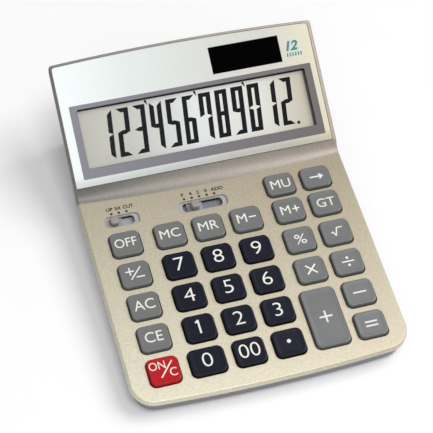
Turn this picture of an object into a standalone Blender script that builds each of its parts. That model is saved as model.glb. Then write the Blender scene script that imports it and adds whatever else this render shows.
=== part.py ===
"""Desktop calculator with a raised display head: 141 mm wide, 180 mm long, in metres, +Z up.

The deck plane rises gently to the rear and the head tilts up from it. Lengths on the deck run from
the middle of its front edge, lengths on the head run up the slope from its lower edge.
"""
import math

import bmesh
import bpy
from mathutils import Matrix, Vector

MM = 0.001

# Clearances
GAP = 0.3 * MM
KEY_GAP = 0.35 * MM
OVERRUN = 1 * MM

# Case outline
LEFT_BORDER = 10.3 * MM
RIGHT_BORDER = 9.95 * MM
FRONT_BORDER = 9.9 * MM
DECK_REAR_BORDER = 3.35 * MM
DECK_FRONT_HEIGHT = 12 * MM
DECK_SLOPE = math.radians(4)
FRONT_BOW = 2.8 * MM
FRONT_CORNER_RADIUS = 11 * MM
REAR_CORNER_RADIUS = 1.5 * MM
CORNER_STATIONS = 6
MIDDLE_STATIONS = 8

# Display head and the cove that leads up to it
HEAD_RISE = 4.3 * MM
HEAD_TILT = math.radians(25.6)
HEAD_ARCH = 2 * MM
COVE_LENGTH = 9.1 * MM
COVE_BOW = 2.9 * MM
COVE_STEPS = 5

# Top cover
COVER_WALL = 2 * MM
SKIRT = 3.2 * MM
RIM_RADIUS = 1.2 * MM
RIM_STEPS = 2
BOSS_RADIUS = 2 * MM
FRONT_BOSS_DROP = 5 * MM
REAR_BOSS_DROP = 8 * MM
BOSS_HOLE_DEPTH = 3.4 * MM

# Bottom case
CASE_WALL = 1.8 * MM
FLOOR = 1.8 * MM
CASE_STEP = 1.4 * MM
FRONT_STEP = 0.6 * MM
CASE_DRAFT = math.radians(6.5)
CASE_CHAMFER = 1.2 * MM
FOOT_PROUD = 1.2 * MM
PILLAR_RADIUS = 3.2 * MM
BOARD_PILLAR_RADIUS = 2 * MM

# Feet
FOOT_RADIUS = 4.5 * MM
FOOT_THICKNESS = 1.5 * MM
FOOT_SET_IN = 18.2 * MM
FRONT_FOOT_Y = 20 * MM
REAR_FOOT_BEHIND_COVE = 26.5 * MM

# Case screws
SCREW_RADIUS = 0.8 * MM
SCREW_HEAD_RADIUS = 1.7 * MM
SCREW_HEAD_HEIGHT = 1.2 * MM
SCREW_HEAD_DEPTH = 0.5 * MM
SCREW_GRIP = 3 * MM
FRONT_SCREW_SET_IN = 27.9 * MM
REAR_SCREW_SET_IN = 12.2 * MM

# Keys
KEY_WIDTH = 15.4 * MM
KEY_DEPTH = 14.2 * MM
MEMORY_KEY_DEPTH = 13.9 * MM
TOP_KEY_DEPTH = 12.7 * MM
ZERO_KEY_EXTRA = 2.2 * MM
PLUS_KEY_EXTRA = 2.6 * MM
KEY_CORNER_RADIUS = 3 * MM
KEY_CORNER_STEPS = 2
KEY_PROUD = 1.9 * MM
KEY_TAPER = 0.25 * MM
KEY_EDGE = 0.45 * MM
KEY_DISH = 0.1 * MM
KEY_DISH_MARGIN = 2.2 * MM
KEY_WALL = 1.2 * MM
KEY_FLANGE = 1 * MM
KEY_FLANGE_THICKNESS = 0.8 * MM
KEY_POST_RADIUS = 1.8 * MM
NUMBER_SPACING = 4.75 * MM
GROUP_SPACING = 7.55 * MM
LAST_SPACING = 4.2 * MM
ROW_SPACING = 3.75 * MM
TOP_ROW_SPACING = 2.6 * MM

# Key mat and main board
DOME_HEIGHT = 1.7 * MM
DOME_RADIUS = 4 * MM
DOME_TOP_RADIUS = 2.2 * MM
DOME_SIDES = 8
MAT_THICKNESS = 0.8 * MM
MAT_MARGIN = 1.2 * MM
BOARD_THICKNESS = 1.2 * MM
BOARD_CLEARANCE = 0.7 * MM
BOARD_SIDE_CLEARANCE = 5 * MM
CHIP_RADIUS = 5 * MM
CHIP_HEIGHT = 1.1 * MM

# Slide switches
SWITCH_BELOW_TOP_ROW = 1.4 * MM
ROUNDING_OFFSET = 1.8 * MM
ROUNDING_PITCH = 3.95 * MM
ROUNDING_STEPS = 2
ROUNDING_REST_STEPS = 0
DECIMAL_OFFSET = 1.2 * MM
DECIMAL_PITCH = 4 * MM
DECIMAL_STEPS = 4
DECIMAL_REST_STEPS = 1
RECESS_MARGIN = 3 * MM
RECESS_HEIGHT = 7.2 * MM
RECESS_DEPTH = 1 * MM
KNOB_RADIUS = 2.2 * MM
KNOB_PROUD = 2 * MM
KNOB_EDGE = 0.5 * MM
CARRIER_OVERLAP = 2 * MM
CARRIER_HEIGHT = 7.2 * MM
CARRIER_THICKNESS = 0.8 * MM
SWITCH_BODY_HEIGHT = 5 * MM

# Display plate, with places up the slope of the head
PLATE_LEFT_INSET = 1.3 * MM
PLATE_RIGHT_INSET = 2.3 * MM
PLATE_REAR_INSET = 1 * MM
PLATE_THICKNESS = 0.7 * MM
PLATE_CORNER_RADIUS = 1.5 * MM
HEAD_RIM_DROP = 0.2 * MM
WINDOW_LEFT_BORDER = 8.35 * MM
WINDOW_RIGHT_BORDER = 6.8 * MM
WINDOW_FRONT_BORDER = 9 * MM
WINDOW_HEIGHT = 30.6 * MM
WINDOW_CORNER_RADIUS = 0.8 * MM
SOLAR_RIGHT_BORDER = 17.45 * MM
SOLAR_SPACING = 5.5 * MM
SOLAR_REAR_BORDER = 3.7 * MM
SOLAR_WIDTH = 38.1 * MM
SOLAR_HEIGHT = 14.2 * MM
SOLAR_MARGIN = 0.7 * MM
SOLAR_THICKNESS = 1.2 * MM

# Display window, glass and the frame behind them
LENS_MARGIN = 0.8 * MM
LENS_THICKNESS = 1 * MM
GLASS_MARGIN = 2 * MM
GLASS_THICKNESS = 1.7 * MM
FRAME_WALL = 1.2 * MM
FRAME_FLOOR = 1.2 * MM
FRAME_REAR_MARGIN = 2.3 * MM
RIBBON_WIDTH = 56 * MM
RIBBON_X = -8 * MM
RIBBON_THICKNESS = 0.4 * MM
RIBBON_SLOT = 3 * MM
RIBBON_INSET = 3 * MM
RIBBON_LANDING = 5 * MM
LANDING_RISE = 1 * MM
SOLAR_LEAD_WIDTH = 4 * MM
SOLAR_LEAD_RUN = 30 * MM

# Battery, its contacts and its sliding cover
CELL_RADIUS = 7 * MM
CELL_LENGTH = 50 * MM
CELL_NUB_RADIUS = 2.7 * MM
CELL_NUB_LENGTH = 1.2 * MM
CELL_REAR_CLEARANCE = 3 * MM
SPRING_LENGTH = 7.6 * MM
CONTACT_THICKNESS = 0.6 * MM
CONTACT_WIDTH = 9 * MM
CONTACT_HEIGHT = 11 * MM
SPRING_RADIUS = 3.4 * MM
SPRING_TIP_RADIUS = 2 * MM
SPRING_WIRE = 0.35 * MM
SPRING_TURNS = 3
SPRING_STEPS = 10
CRADLE_WALL = 1.4 * MM
CRADLE_HEIGHT = 11 * MM
BATTERY_COVER_UPSTAND = 5 * MM
BATTERY_COVER_UPSTAND_THICKNESS = 2.4 * MM
TAB_REACH = 2.4 * MM
TAB_LENGTH = 6 * MM
TAB_THICKNESS = 1 * MM
WIRE_RADIUS = 0.55 * MM
WIRE_RISE = 6 * MM
WIRE_LANDING = 1.1 * MM
POSITIVE_WIRE_CLEARANCE = 7 * MM
NEGATIVE_WIRE_CLEARANCE = 2.6 * MM
ROUTE_STEPS = 4

ROUND_SIDES = 16
SMOOTH_ANGLE = math.radians(35)

# Sizes and places that follow from those above, from the keys outwards
NUMBER_PITCH_X = KEY_WIDTH + NUMBER_SPACING
GROUP_PITCH_X = KEY_WIDTH + GROUP_SPACING
LAST_PITCH_X = KEY_WIDTH + LAST_SPACING
KEY_PITCH_Y = KEY_DEPTH + ROW_SPACING
FIRST_ROW_Y = FRONT_BORDER + KEY_DEPTH / 2
TOP_PITCH_Y = (MEMORY_KEY_DEPTH + TOP_KEY_DEPTH) / 2 + TOP_ROW_SPACING
COLUMNS_WIDTH = 2 * GROUP_PITCH_X + 2 * NUMBER_PITCH_X + LAST_PITCH_X + KEY_WIDTH
DECK_WIDTH = LEFT_BORDER + COLUMNS_WIDTH + RIGHT_BORDER

NUMBER_ROWS = ("zero", "one", "four", "seven", "memory")
ROW_Y = {row: FIRST_ROW_Y + index * KEY_PITCH_Y for index, row in enumerate(NUMBER_ROWS)}
ROW_Y["top"] = ROW_Y["memory"] + TOP_PITCH_Y
COLUMN_X = {"a": LEFT_BORDER + KEY_WIDTH / 2 - DECK_WIDTH / 2}
COLUMN_X["b"] = COLUMN_X["a"] + GROUP_PITCH_X
COLUMN_X["c"] = COLUMN_X["b"] + NUMBER_PITCH_X
COLUMN_X["d"] = COLUMN_X["c"] + NUMBER_PITCH_X
COLUMN_X["e"] = COLUMN_X["d"] + GROUP_PITCH_X
COLUMN_X["f"] = COLUMN_X["e"] + LAST_PITCH_X

SWITCH_Y = ROW_Y["top"] - SWITCH_BELOW_TOP_ROW
COVE_Y = ROW_Y["top"] + TOP_KEY_DEPTH / 2 + DECK_REAR_BORDER
HEAD_Y = COVE_Y + COVE_LENGTH

PLATE_WIDTH = DECK_WIDTH - PLATE_LEFT_INSET - PLATE_RIGHT_INSET
PLATE_X = (PLATE_LEFT_INSET - PLATE_RIGHT_INSET) / 2
WINDOW_WIDTH = PLATE_WIDTH - WINDOW_LEFT_BORDER - WINDOW_RIGHT_BORDER
WINDOW_X = PLATE_X + (WINDOW_LEFT_BORDER - WINDOW_RIGHT_BORDER) / 2
WINDOW_Y = WINDOW_FRONT_BORDER + WINDOW_HEIGHT / 2
SOLAR_X = PLATE_X + PLATE_WIDTH / 2 - SOLAR_RIGHT_BORDER - SOLAR_WIDTH / 2
SOLAR_Y = WINDOW_FRONT_BORDER + WINDOW_HEIGHT + SOLAR_SPACING + SOLAR_HEIGHT / 2
PLATE_LENGTH = SOLAR_Y + SOLAR_HEIGHT / 2 + SOLAR_REAR_BORDER
HEAD_LENGTH = PLATE_LENGTH + PLATE_REAR_INSET
FRAME_REAR_Y = SOLAR_Y + FRAME_REAR_MARGIN
SOLAR_LEAD_X = SOLAR_X + SOLAR_WIDTH / 2 - SOLAR_LEAD_WIDTH
POSITIVE_WIRE_X = RIBBON_X - RIBBON_WIDTH / 2 - POSITIVE_WIRE_CLEARANCE
NEGATIVE_WIRE_X = RIBBON_X + RIBBON_WIDTH / 2 + NEGATIVE_WIRE_CLEARANCE

FRONT_SCREW_X = DECK_WIDTH / 2 - FRONT_SCREW_SET_IN
FRONT_SCREW_Y = FRONT_BORDER - KEY_FLANGE - GAP - BOSS_RADIUS
REAR_SCREW_X = DECK_WIDTH / 2 - REAR_SCREW_SET_IN
REAR_SCREW_Y = COVE_Y
FOOT_X = DECK_WIDTH / 2 - FOOT_SET_IN
REAR_FOOT_Y = HEAD_Y + REAR_FOOT_BEHIND_COVE
BOARD_WIDTH = DECK_WIDTH - 2 * (CASE_STEP + CASE_WALL + BOARD_SIDE_CLEARANCE)
BOARD_FRONT_Y = FRONT_SCREW_Y + PILLAR_RADIUS + BOARD_CLEARANCE
BOARD_REAR_Y = REAR_SCREW_Y - PILLAR_RADIUS - BOARD_CLEARANCE
CRADLE_HALF = (4 * GAP + CONTACT_THICKNESS + CELL_LENGTH + SPRING_LENGTH) / 2
BATTERY_COVER_WIDTH = 2 * (CRADLE_HALF - TAB_REACH - GAP)


for leftover in list(bpy.data.objects):
    bpy.data.objects.remove(leftover)


# Frames of the deck and of the head

def head_matrix():
    """Head frame seen from the deck frame."""
    return Matrix.Translation((0, HEAD_Y, HEAD_RISE)) @ Matrix.Rotation(HEAD_TILT, 4, "X")


WORLD_TILT = DECK_SLOPE + HEAD_TILT
slope = Matrix.Rotation(DECK_SLOPE, 4, "X")
case_length = (slope @ head_matrix() @ Vector((0, HEAD_LENGTH + HEAD_ARCH, -HEAD_RIM_DROP))).y
deck_matrix = Matrix.Translation((0, -case_length / 2, DECK_FRONT_HEIGHT)) @ slope
on_head = deck_matrix @ head_matrix()

deck = bpy.data.objects.new("deck_frame", None)
deck.matrix_world = deck_matrix
head = bpy.data.objects.new("head_frame", None)
head.parent = deck
head.matrix_local = head_matrix()
for frame in (deck, head):
    bpy.context.collection.objects.link(frame)


# Materials

def material(name, colour, roughness, metallic=0):
    finish = bpy.data.materials.new(name)
    finish.use_nodes = True
    surface = finish.node_tree.nodes["Principled BSDF"]
    surface.inputs["Base Color"].default_value = (*colour, 1)
    surface.inputs["Roughness"].default_value = roughness
    surface.inputs["Metallic"].default_value = metallic
    finish.diffuse_color = (*colour, 1)
    return finish


CHAMPAGNE = ((0.60, 0.54, 0.42), 0.35, 0.3)
CASE_GREY = ((0.17, 0.16, 0.20), 0.5)
KEY_GREY = ((0.19, 0.21, 0.22), 0.45)
KEY_NAVY = ((0.015, 0.017, 0.035), 0.4)
KEY_RED = ((0.55, 0.01, 0.03), 0.35)
SWITCH_GREY = ((0.25, 0.26, 0.32), 0.5)
BLACK_RUBBER = ((0.03, 0.03, 0.03), 0.8)
STEEL = ((0.6, 0.6, 0.6), 0.3, 1)
SILVER = ((0.75, 0.76, 0.74), 0.3, 0.8)
BOARD_GREEN = ((0.03, 0.14, 0.06), 0.5)
FLEX_BROWN = ((0.35, 0.2, 0.06), 0.4)


# Shape helpers

def finish_object(name, bm, look, parent=None, place=(0, 0, 0)):
    """Turns a closed bmesh into a named object with a material of its own."""
    bmesh.ops.recalc_face_normals(bm, faces=bm.faces)
    mesh = bpy.data.meshes.new(name)
    bm.to_mesh(mesh)
    bm.free()
    mesh.materials.append(material(name, *look))
    mesh.shade_smooth()
    mesh.set_sharp_from_angle(angle=SMOOTH_ANGLE)
    piece = bpy.data.objects.new(name, mesh)
    bpy.context.collection.objects.link(piece)
    piece.parent = parent
    piece.location = place
    return piece


def finish_cutter(name, bm, parent=None):
    """A guide shape that a Boolean uses, left out of the model."""
    guide = finish_object(name, bm, STEEL, parent)
    guide.hide_render = True
    guide.display_type = "WIRE"
    return guide


def combine(piece, guide, operation):
    step = piece.modifiers.new(guide.name, "BOOLEAN")
    step.operation = operation
    step.solver = "EXACT"
    step.object = guide


def rounded(width, height, radius, x=0, y=0, steps=KEY_CORNER_STEPS):
    """Outline of a rectangle with round corners, anticlockwise round the point x, y."""
    points = []
    for quarter, (side_x, side_y) in enumerate(((1, 1), (-1, 1), (-1, -1), (1, -1))):
        middle_x = x + side_x * (width / 2 - radius)
        middle_y = y + side_y * (height / 2 - radius)
        for step in range(steps + 1):
            angle = math.tau * (quarter + step / steps) / 4
            points.append((middle_x + radius * math.cos(angle), middle_y + radius * math.sin(angle)))
    return points


def rectangle(width, height, x=0, y=0):
    return [(x + side_x * width / 2, y + side_y * height / 2)
            for side_x, side_y in ((1, 1), (-1, 1), (-1, -1), (1, -1))]


def circle(radius, x=0, y=0, sides=ROUND_SIDES):
    return [(x + radius * math.cos(math.tau * side / sides), y + radius * math.sin(math.tau * side / sides))
            for side in range(sides)]


def stack(bm, *levels):
    """Closed solid through outlines of equal point count, each with its height."""
    rings = [[bm.verts.new((x, y, z)) for x, y in outline] for outline, z in levels]
    for lower, upper in zip(rings, rings[1:]):
        for index, vertex in enumerate(lower):
            following = (index + 1) % len(lower)
            bm.faces.new((vertex, lower[following], upper[following], upper[index]))
    bm.faces.new(reversed(rings[0]))
    bm.faces.new(rings[-1])


def block(name, outline, bottom, top, look, parent=None):
    bm = bmesh.new()
    stack(bm, (outline, bottom), (outline, top))
    return finish_object(name, bm, look, parent)


def strip(name, route, width, x):
    """Flat flexible lead along a route of places in the Y-Z plane."""
    bm = bmesh.new()
    sections = []
    for index, point in enumerate(route):
        before = route[max(index - 1, 0)]
        after = route[min(index + 1, len(route) - 1)]
        along = (after - before).normalized()
        normal = Vector((0, -along.z, along.y)) * RIBBON_THICKNESS / 2
        side = Vector((width / 2, 0, 0))
        middle = point + Vector((x, 0, 0))
        corners = (middle + side + normal, middle - side + normal,
                   middle - side - normal, middle + side - normal)
        sections.append([bm.verts.new(corner) for corner in corners])
    for near, far in zip(sections, sections[1:]):
        for index in range(4):
            following = (index + 1) % 4
            bm.faces.new((near[index], near[following], far[following], far[index]))
    bm.faces.new(sections[0])
    bm.faces.new(sections[-1])
    return finish_object(name, bm, FLEX_BROWN)


def smooth_route(points, steps):
    """Points of a smooth curve through the given ones."""
    padded = [points[0] * 2 - points[1], *points, points[-1] * 2 - points[-2]]
    route = []
    for first, start, end, last in zip(padded, padded[1:], padded[2:], padded[3:]):
        for step in range(steps):
            t = step / steps
            route.append(0.5 * (2 * start + (end - first) * t
                                + (2 * first - 5 * start + 4 * end - last) * t ** 2
                                + (3 * start - first - 3 * end + last) * t ** 3))
    route.append(points[-1])
    return route


def tube(name, route, radius, look, smoothness=2):
    """Round wire along a route, with closed ends."""
    curve = bpy.data.curves.new(name, "CURVE")
    curve.dimensions = "3D"
    curve.bevel_depth = radius
    curve.bevel_resolution = smoothness
    curve.use_fill_caps = True
    spline = curve.splines.new("POLY")
    spline.points.add(len(route) - 1)
    for point, place in zip(spline.points, route):
        point.co = (*place, 1)
    curve.materials.append(material(name, *look))
    piece = bpy.data.objects.new(name, curve)
    bpy.context.collection.objects.link(piece)
    return piece


# Case outline: the surface of the cover at one place across its width

def bow(u, rise):
    """How far a bowed edge lies behind its middle at the lateral place u."""
    return rise * (2 * u / DECK_WIDTH) ** 2


def corner_set_back(u, half_width, radius):
    over = abs(u) - (half_width - radius)
    return radius - math.sqrt(max(radius ** 2 - over ** 2, 0)) if over > 0 else 0


def stations(inset):
    """Lateral places of the case sections, close together round the front corners."""
    radius = FRONT_CORNER_RADIUS - inset
    straight = DECK_WIDTH / 2 - FRONT_CORNER_RADIUS
    right = [straight + radius * math.sin(math.pi / 2 * step / CORNER_STATIONS)
             for step in range(1, CORNER_STATIONS + 1)]
    middle = [straight * (2 * step / MIDDLE_STATIONS - 1) for step in range(MIDDLE_STATIONS + 1)]
    return [-u for u in reversed(right)] + middle + right


def surface(u, drop, side_inset, front_inset, rear_inset):
    """World points from front to rear, a drop below the cover's surface and inset from its edges."""
    half = DECK_WIDTH / 2 - side_inset
    front = front_inset + bow(u, FRONT_BOW)
    front += corner_set_back(u, half, FRONT_CORNER_RADIUS - side_inset)
    rear = HEAD_LENGTH + HEAD_ARCH - bow(u, HEAD_ARCH)
    rear -= corner_set_back(u, half, REAR_CORNER_RADIUS)
    rear -= rear_inset / math.cos(WORLD_TILT) + drop * math.tan(WORLD_TILT)
    points = [deck_matrix @ Vector((u, front, -drop))]
    cove_start = COVE_Y + bow(u, COVE_BOW)
    cove_end = head_matrix() @ Vector((0, 0, -HEAD_RIM_DROP))
    for step in range(COVE_STEPS + 1):
        t = step / COVE_STEPS
        y = cove_start + (cove_end.y - cove_start) * t
        points.append(deck_matrix @ Vector((u, y, cove_end.z * t ** 2 - drop)))
    points.append(on_head @ Vector((u, rear, -HEAD_RIM_DROP - drop)))
    return points


def border(chains):
    """The outer ring of a grid of chains, in order."""
    ring = list(chains[0]) + [chain[-1] for chain in chains[1:-1]]
    return ring + list(reversed(chains[-1])) + [chain[0] for chain in reversed(chains[1:-1])]


def loft(levels):
    """Closed solid between two grids of points, with its sides through the borders of those between."""
    bm = bmesh.new()
    ends = []
    for chains in (levels[0], levels[-1]):
        grid = [[bm.verts.new(point) for point in chain] for chain in chains]
        for near, far in zip(grid, grid[1:]):
            for index in range(len(near) - 1):
                bm.faces.new((near[index], near[index + 1], far[index + 1], far[index]))
        ends.append(border(grid))
    between = [[bm.verts.new(point) for point in border(chains)] for chains in levels[1:-1]]
    rings = [ends[0], *between, ends[1]]
    for upper, lower in zip(rings, rings[1:]):
        for index, vertex in enumerate(upper):
            following = (index + 1) % len(upper)
            bm.faces.new((vertex, upper[following], lower[following], lower[index]))
    return bm


# Places of the keys on the deck

KEYS = [
    ("key_off", "a", "memory", KEY_GREY), ("key_sign", "a", "seven", KEY_GREY),
    ("key_ac", "a", "four", KEY_GREY), ("key_ce", "a", "one", KEY_GREY),
    ("key_on_clear", "a", "zero", KEY_RED), ("key_mc", "b", "memory", KEY_GREY),
    ("key_7", "b", "seven", KEY_NAVY), ("key_4", "b", "four", KEY_NAVY),
    ("key_1", "b", "one", KEY_NAVY), ("key_0", "b", "zero", KEY_NAVY),
    ("key_mr", "c", "memory", KEY_GREY), ("key_8", "c", "seven", KEY_NAVY),
    ("key_5", "c", "four", KEY_NAVY), ("key_2", "c", "one", KEY_NAVY),
    ("key_00", "c", "zero", KEY_NAVY), ("key_m_minus", "d", "memory", KEY_GREY),
    ("key_9", "d", "seven", KEY_NAVY), ("key_6", "d", "four", KEY_NAVY),
    ("key_3", "d", "one", KEY_NAVY), ("key_point", "d", "zero", KEY_NAVY),
    ("key_mu", "e", "top", KEY_GREY), ("key_m_plus", "e", "memory", KEY_GREY),
    ("key_percent", "e", "seven", KEY_GREY), ("key_multiply", "e", "four", KEY_GREY),
    ("key_plus", "e", "zero", KEY_GREY), ("key_arrow", "f", "top", KEY_GREY),
    ("key_gt", "f", "memory", KEY_GREY), ("key_root", "f", "seven", KEY_GREY),
    ("key_divide", "f", "four", KEY_GREY), ("key_minus", "f", "one", KEY_GREY),
    ("key_equals", "f", "zero", KEY_GREY),
]


def key_box(name, column, row):
    """Place and size of a key's outline on the deck."""
    x, y = COLUMN_X[column], ROW_Y[row]
    width = KEY_WIDTH
    depth = {"top": TOP_KEY_DEPTH, "memory": MEMORY_KEY_DEPTH}.get(row, KEY_DEPTH)
    if name == "key_0":
        width += ZERO_KEY_EXTRA
        x -= ZERO_KEY_EXTRA / 2
    if name == "key_plus":
        width += PLUS_KEY_EXTRA
        x -= PLUS_KEY_EXTRA / 2
        y += KEY_PITCH_Y / 2
        depth += KEY_PITCH_Y
    return x, y, width, depth


KEY_BOXES = {name: key_box(name, column, row) for name, column, row, _ in KEYS}

# Heights under the deck, from the underside of the cover down to the board
FLANGE_TOP = -COVER_WALL - GAP
FLANGE_BOTTOM = FLANGE_TOP - KEY_FLANGE_THICKNESS
POST_TIP = FLANGE_BOTTOM - GAP
DOME_TOP = POST_TIP - GAP
MAT_TOP = DOME_TOP - DOME_HEIGHT
MAT_BOTTOM = MAT_TOP - MAT_THICKNESS
BOARD_TOP = MAT_BOTTOM - GAP
BOARD_BOTTOM = BOARD_TOP - BOARD_THICKNESS

# Heights under the face of the display plate
PLATE_SEAT = -PLATE_THICKNESS - GAP
COVER_UNDERSIDE = -HEAD_RIM_DROP - COVER_WALL
GLASS_TOP = COVER_UNDERSIDE - GAP
GLASS_BOTTOM = GLASS_TOP - GLASS_THICKNESS
FRAME_SEAT = GLASS_BOTTOM - GAP
FRAME_BOTTOM = FRAME_SEAT - FRAME_FLOOR

# Each slide switch: the middle of its travel, its step, its steps, and where it rests
SWITCHES = (
    ("rounding", COLUMN_X["a"] + ROUNDING_OFFSET, ROUNDING_PITCH, ROUNDING_STEPS, ROUNDING_REST_STEPS),
    ("decimal", COLUMN_X["c"] + DECIMAL_OFFSET, DECIMAL_PITCH, DECIMAL_STEPS, DECIMAL_REST_STEPS),
)


def deck_height(y, below=0):
    """World height of the deck surface at a place on the deck, less a drop."""
    return (deck_matrix @ Vector((0, y, 0))).z - below


def world_y(y):
    return (deck_matrix @ Vector((0, y, 0))).y


SCREWS = (
    ("front_left", -FRONT_SCREW_X, FRONT_SCREW_Y, FRONT_BOSS_DROP),
    ("front_right", FRONT_SCREW_X, FRONT_SCREW_Y, FRONT_BOSS_DROP),
    ("rear_left", -REAR_SCREW_X, REAR_SCREW_Y, REAR_BOSS_DROP),
    ("rear_right", REAR_SCREW_X, REAR_SCREW_Y, REAR_BOSS_DROP),
)


# Top cover: deck, cove and head as one moulding, hollow below, with an opening for every key

def plate_outline(margin):
    """Outline of the display plate, grown by a margin, with its rear edge arched."""
    half = PLATE_WIDTH / 2 + margin
    radius = PLATE_CORNER_RADIUS + margin
    points = []
    for side in (1, -1):
        order = range(KEY_CORNER_STEPS + 1) if side > 0 else range(KEY_CORNER_STEPS, -1, -1)
        for step in order:
            angle = math.pi / 2 * step / KEY_CORNER_STEPS
            points.append((PLATE_X + side * (half - radius + radius * math.cos(angle)),
                           PLATE_LENGTH + margin - radius + radius * math.sin(angle)))
        if side > 0:
            for step in range(1, MIDDLE_STATIONS):
                x = PLATE_X + (half - radius) * (1 - 2 * step / MIDDLE_STATIONS)
                points.append((x, PLATE_LENGTH + margin + HEAD_ARCH - bow(x, HEAD_ARCH)))
    points += [(PLATE_X - half, -margin), (PLATE_X + half, -margin)]
    return points


def cover_level(drop, inset):
    """Grid of points at a drop below the cover's surface, inset from its edges all round."""
    return [surface(u, drop, inset, inset, inset) for u in stations(inset)]


def top_cover():
    levels = []
    for step in range(RIM_STEPS + 1):
        angle = math.pi / 2 * step / RIM_STEPS
        levels.append(cover_level(RIM_RADIUS * (1 - math.cos(angle)), RIM_RADIUS * (1 - math.sin(angle))))
    cover = finish_object("top_cover", loft([*levels, cover_level(SKIRT, 0)]), CHAMPAGNE)
    hollow = loft([cover_level(COVER_WALL, COVER_WALL), cover_level(SKIRT + OVERRUN, COVER_WALL)])
    combine(cover, finish_cutter("cover_hollow", hollow), "DIFFERENCE")

    bosses = bmesh.new()
    for _, x, y, drop in SCREWS:
        outline = circle(BOSS_RADIUS, x, world_y(y))
        stack(bosses, (outline, deck_height(y, drop)), (outline, deck_height(y, COVER_WALL / 2)))
    combine(cover, finish_cutter("cover_bosses", bosses), "UNION")

    screw_holes = bmesh.new()
    for _, x, y, drop in SCREWS:
        outline = circle(SCREW_RADIUS + GAP, x, world_y(y))
        bottom = deck_height(y, drop)
        stack(screw_holes, (outline, bottom - OVERRUN), (outline, bottom + BOSS_HOLE_DEPTH))
    combine(cover, finish_cutter("cover_screw_holes", screw_holes), "DIFFERENCE")

    pockets = bmesh.new()
    for _, x, pitch, steps, _ in SWITCHES:
        outline = rounded(slot_length(pitch, steps) + 2 * RECESS_MARGIN, RECESS_HEIGHT, RECESS_HEIGHT / 3,
                          x, SWITCH_Y)
        stack(pockets, (outline, -RECESS_DEPTH), (outline, OVERRUN))
    combine(cover, finish_cutter("switch_recesses", pockets, deck), "DIFFERENCE")

    holes = bmesh.new()
    for x, y, width, depth in KEY_BOXES.values():
        outline = rounded(width + 2 * KEY_GAP, depth + 2 * KEY_GAP, KEY_CORNER_RADIUS + KEY_GAP, x, y)
        stack(holes, (outline, -COVER_WALL - OVERRUN), (outline, OVERRUN))
    for _, x, pitch, steps, _ in SWITCHES:
        slot_height = 2 * (KNOB_RADIUS + KEY_GAP)
        outline = rounded(slot_length(pitch, steps), slot_height, KNOB_RADIUS, x, SWITCH_Y)
        stack(holes, (outline, -COVER_WALL - OVERRUN), (outline, OVERRUN))
    combine(cover, finish_cutter("key_openings", holes, deck), "DIFFERENCE")

    seat = bmesh.new()
    outline = plate_outline(GAP)
    stack(seat, (outline, PLATE_SEAT), (outline, OVERRUN))
    combine(cover, finish_cutter("plate_seat", seat, head), "DIFFERENCE")

    windows = bmesh.new()
    for outline in (lens_outline(GAP), solar_outline(SOLAR_MARGIN + GAP)):
        stack(windows, (outline, COVER_UNDERSIDE - OVERRUN), (outline, OVERRUN))
    combine(cover, finish_cutter("display_openings", windows, head), "DIFFERENCE")


def slot_length(pitch, steps):
    return pitch * steps + 2 * (KNOB_RADIUS + KEY_GAP)


def lens_outline(margin):
    grow = 2 * (LENS_MARGIN + margin)
    return rectangle(WINDOW_WIDTH + grow, WINDOW_HEIGHT + grow, WINDOW_X, WINDOW_Y)


def solar_outline(margin):
    return rectangle(SOLAR_WIDTH + 2 * margin, SOLAR_HEIGHT + 2 * margin, SOLAR_X, SOLAR_Y)


# Display head: plate, window, glass, solar cell and the frame that carries them

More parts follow.
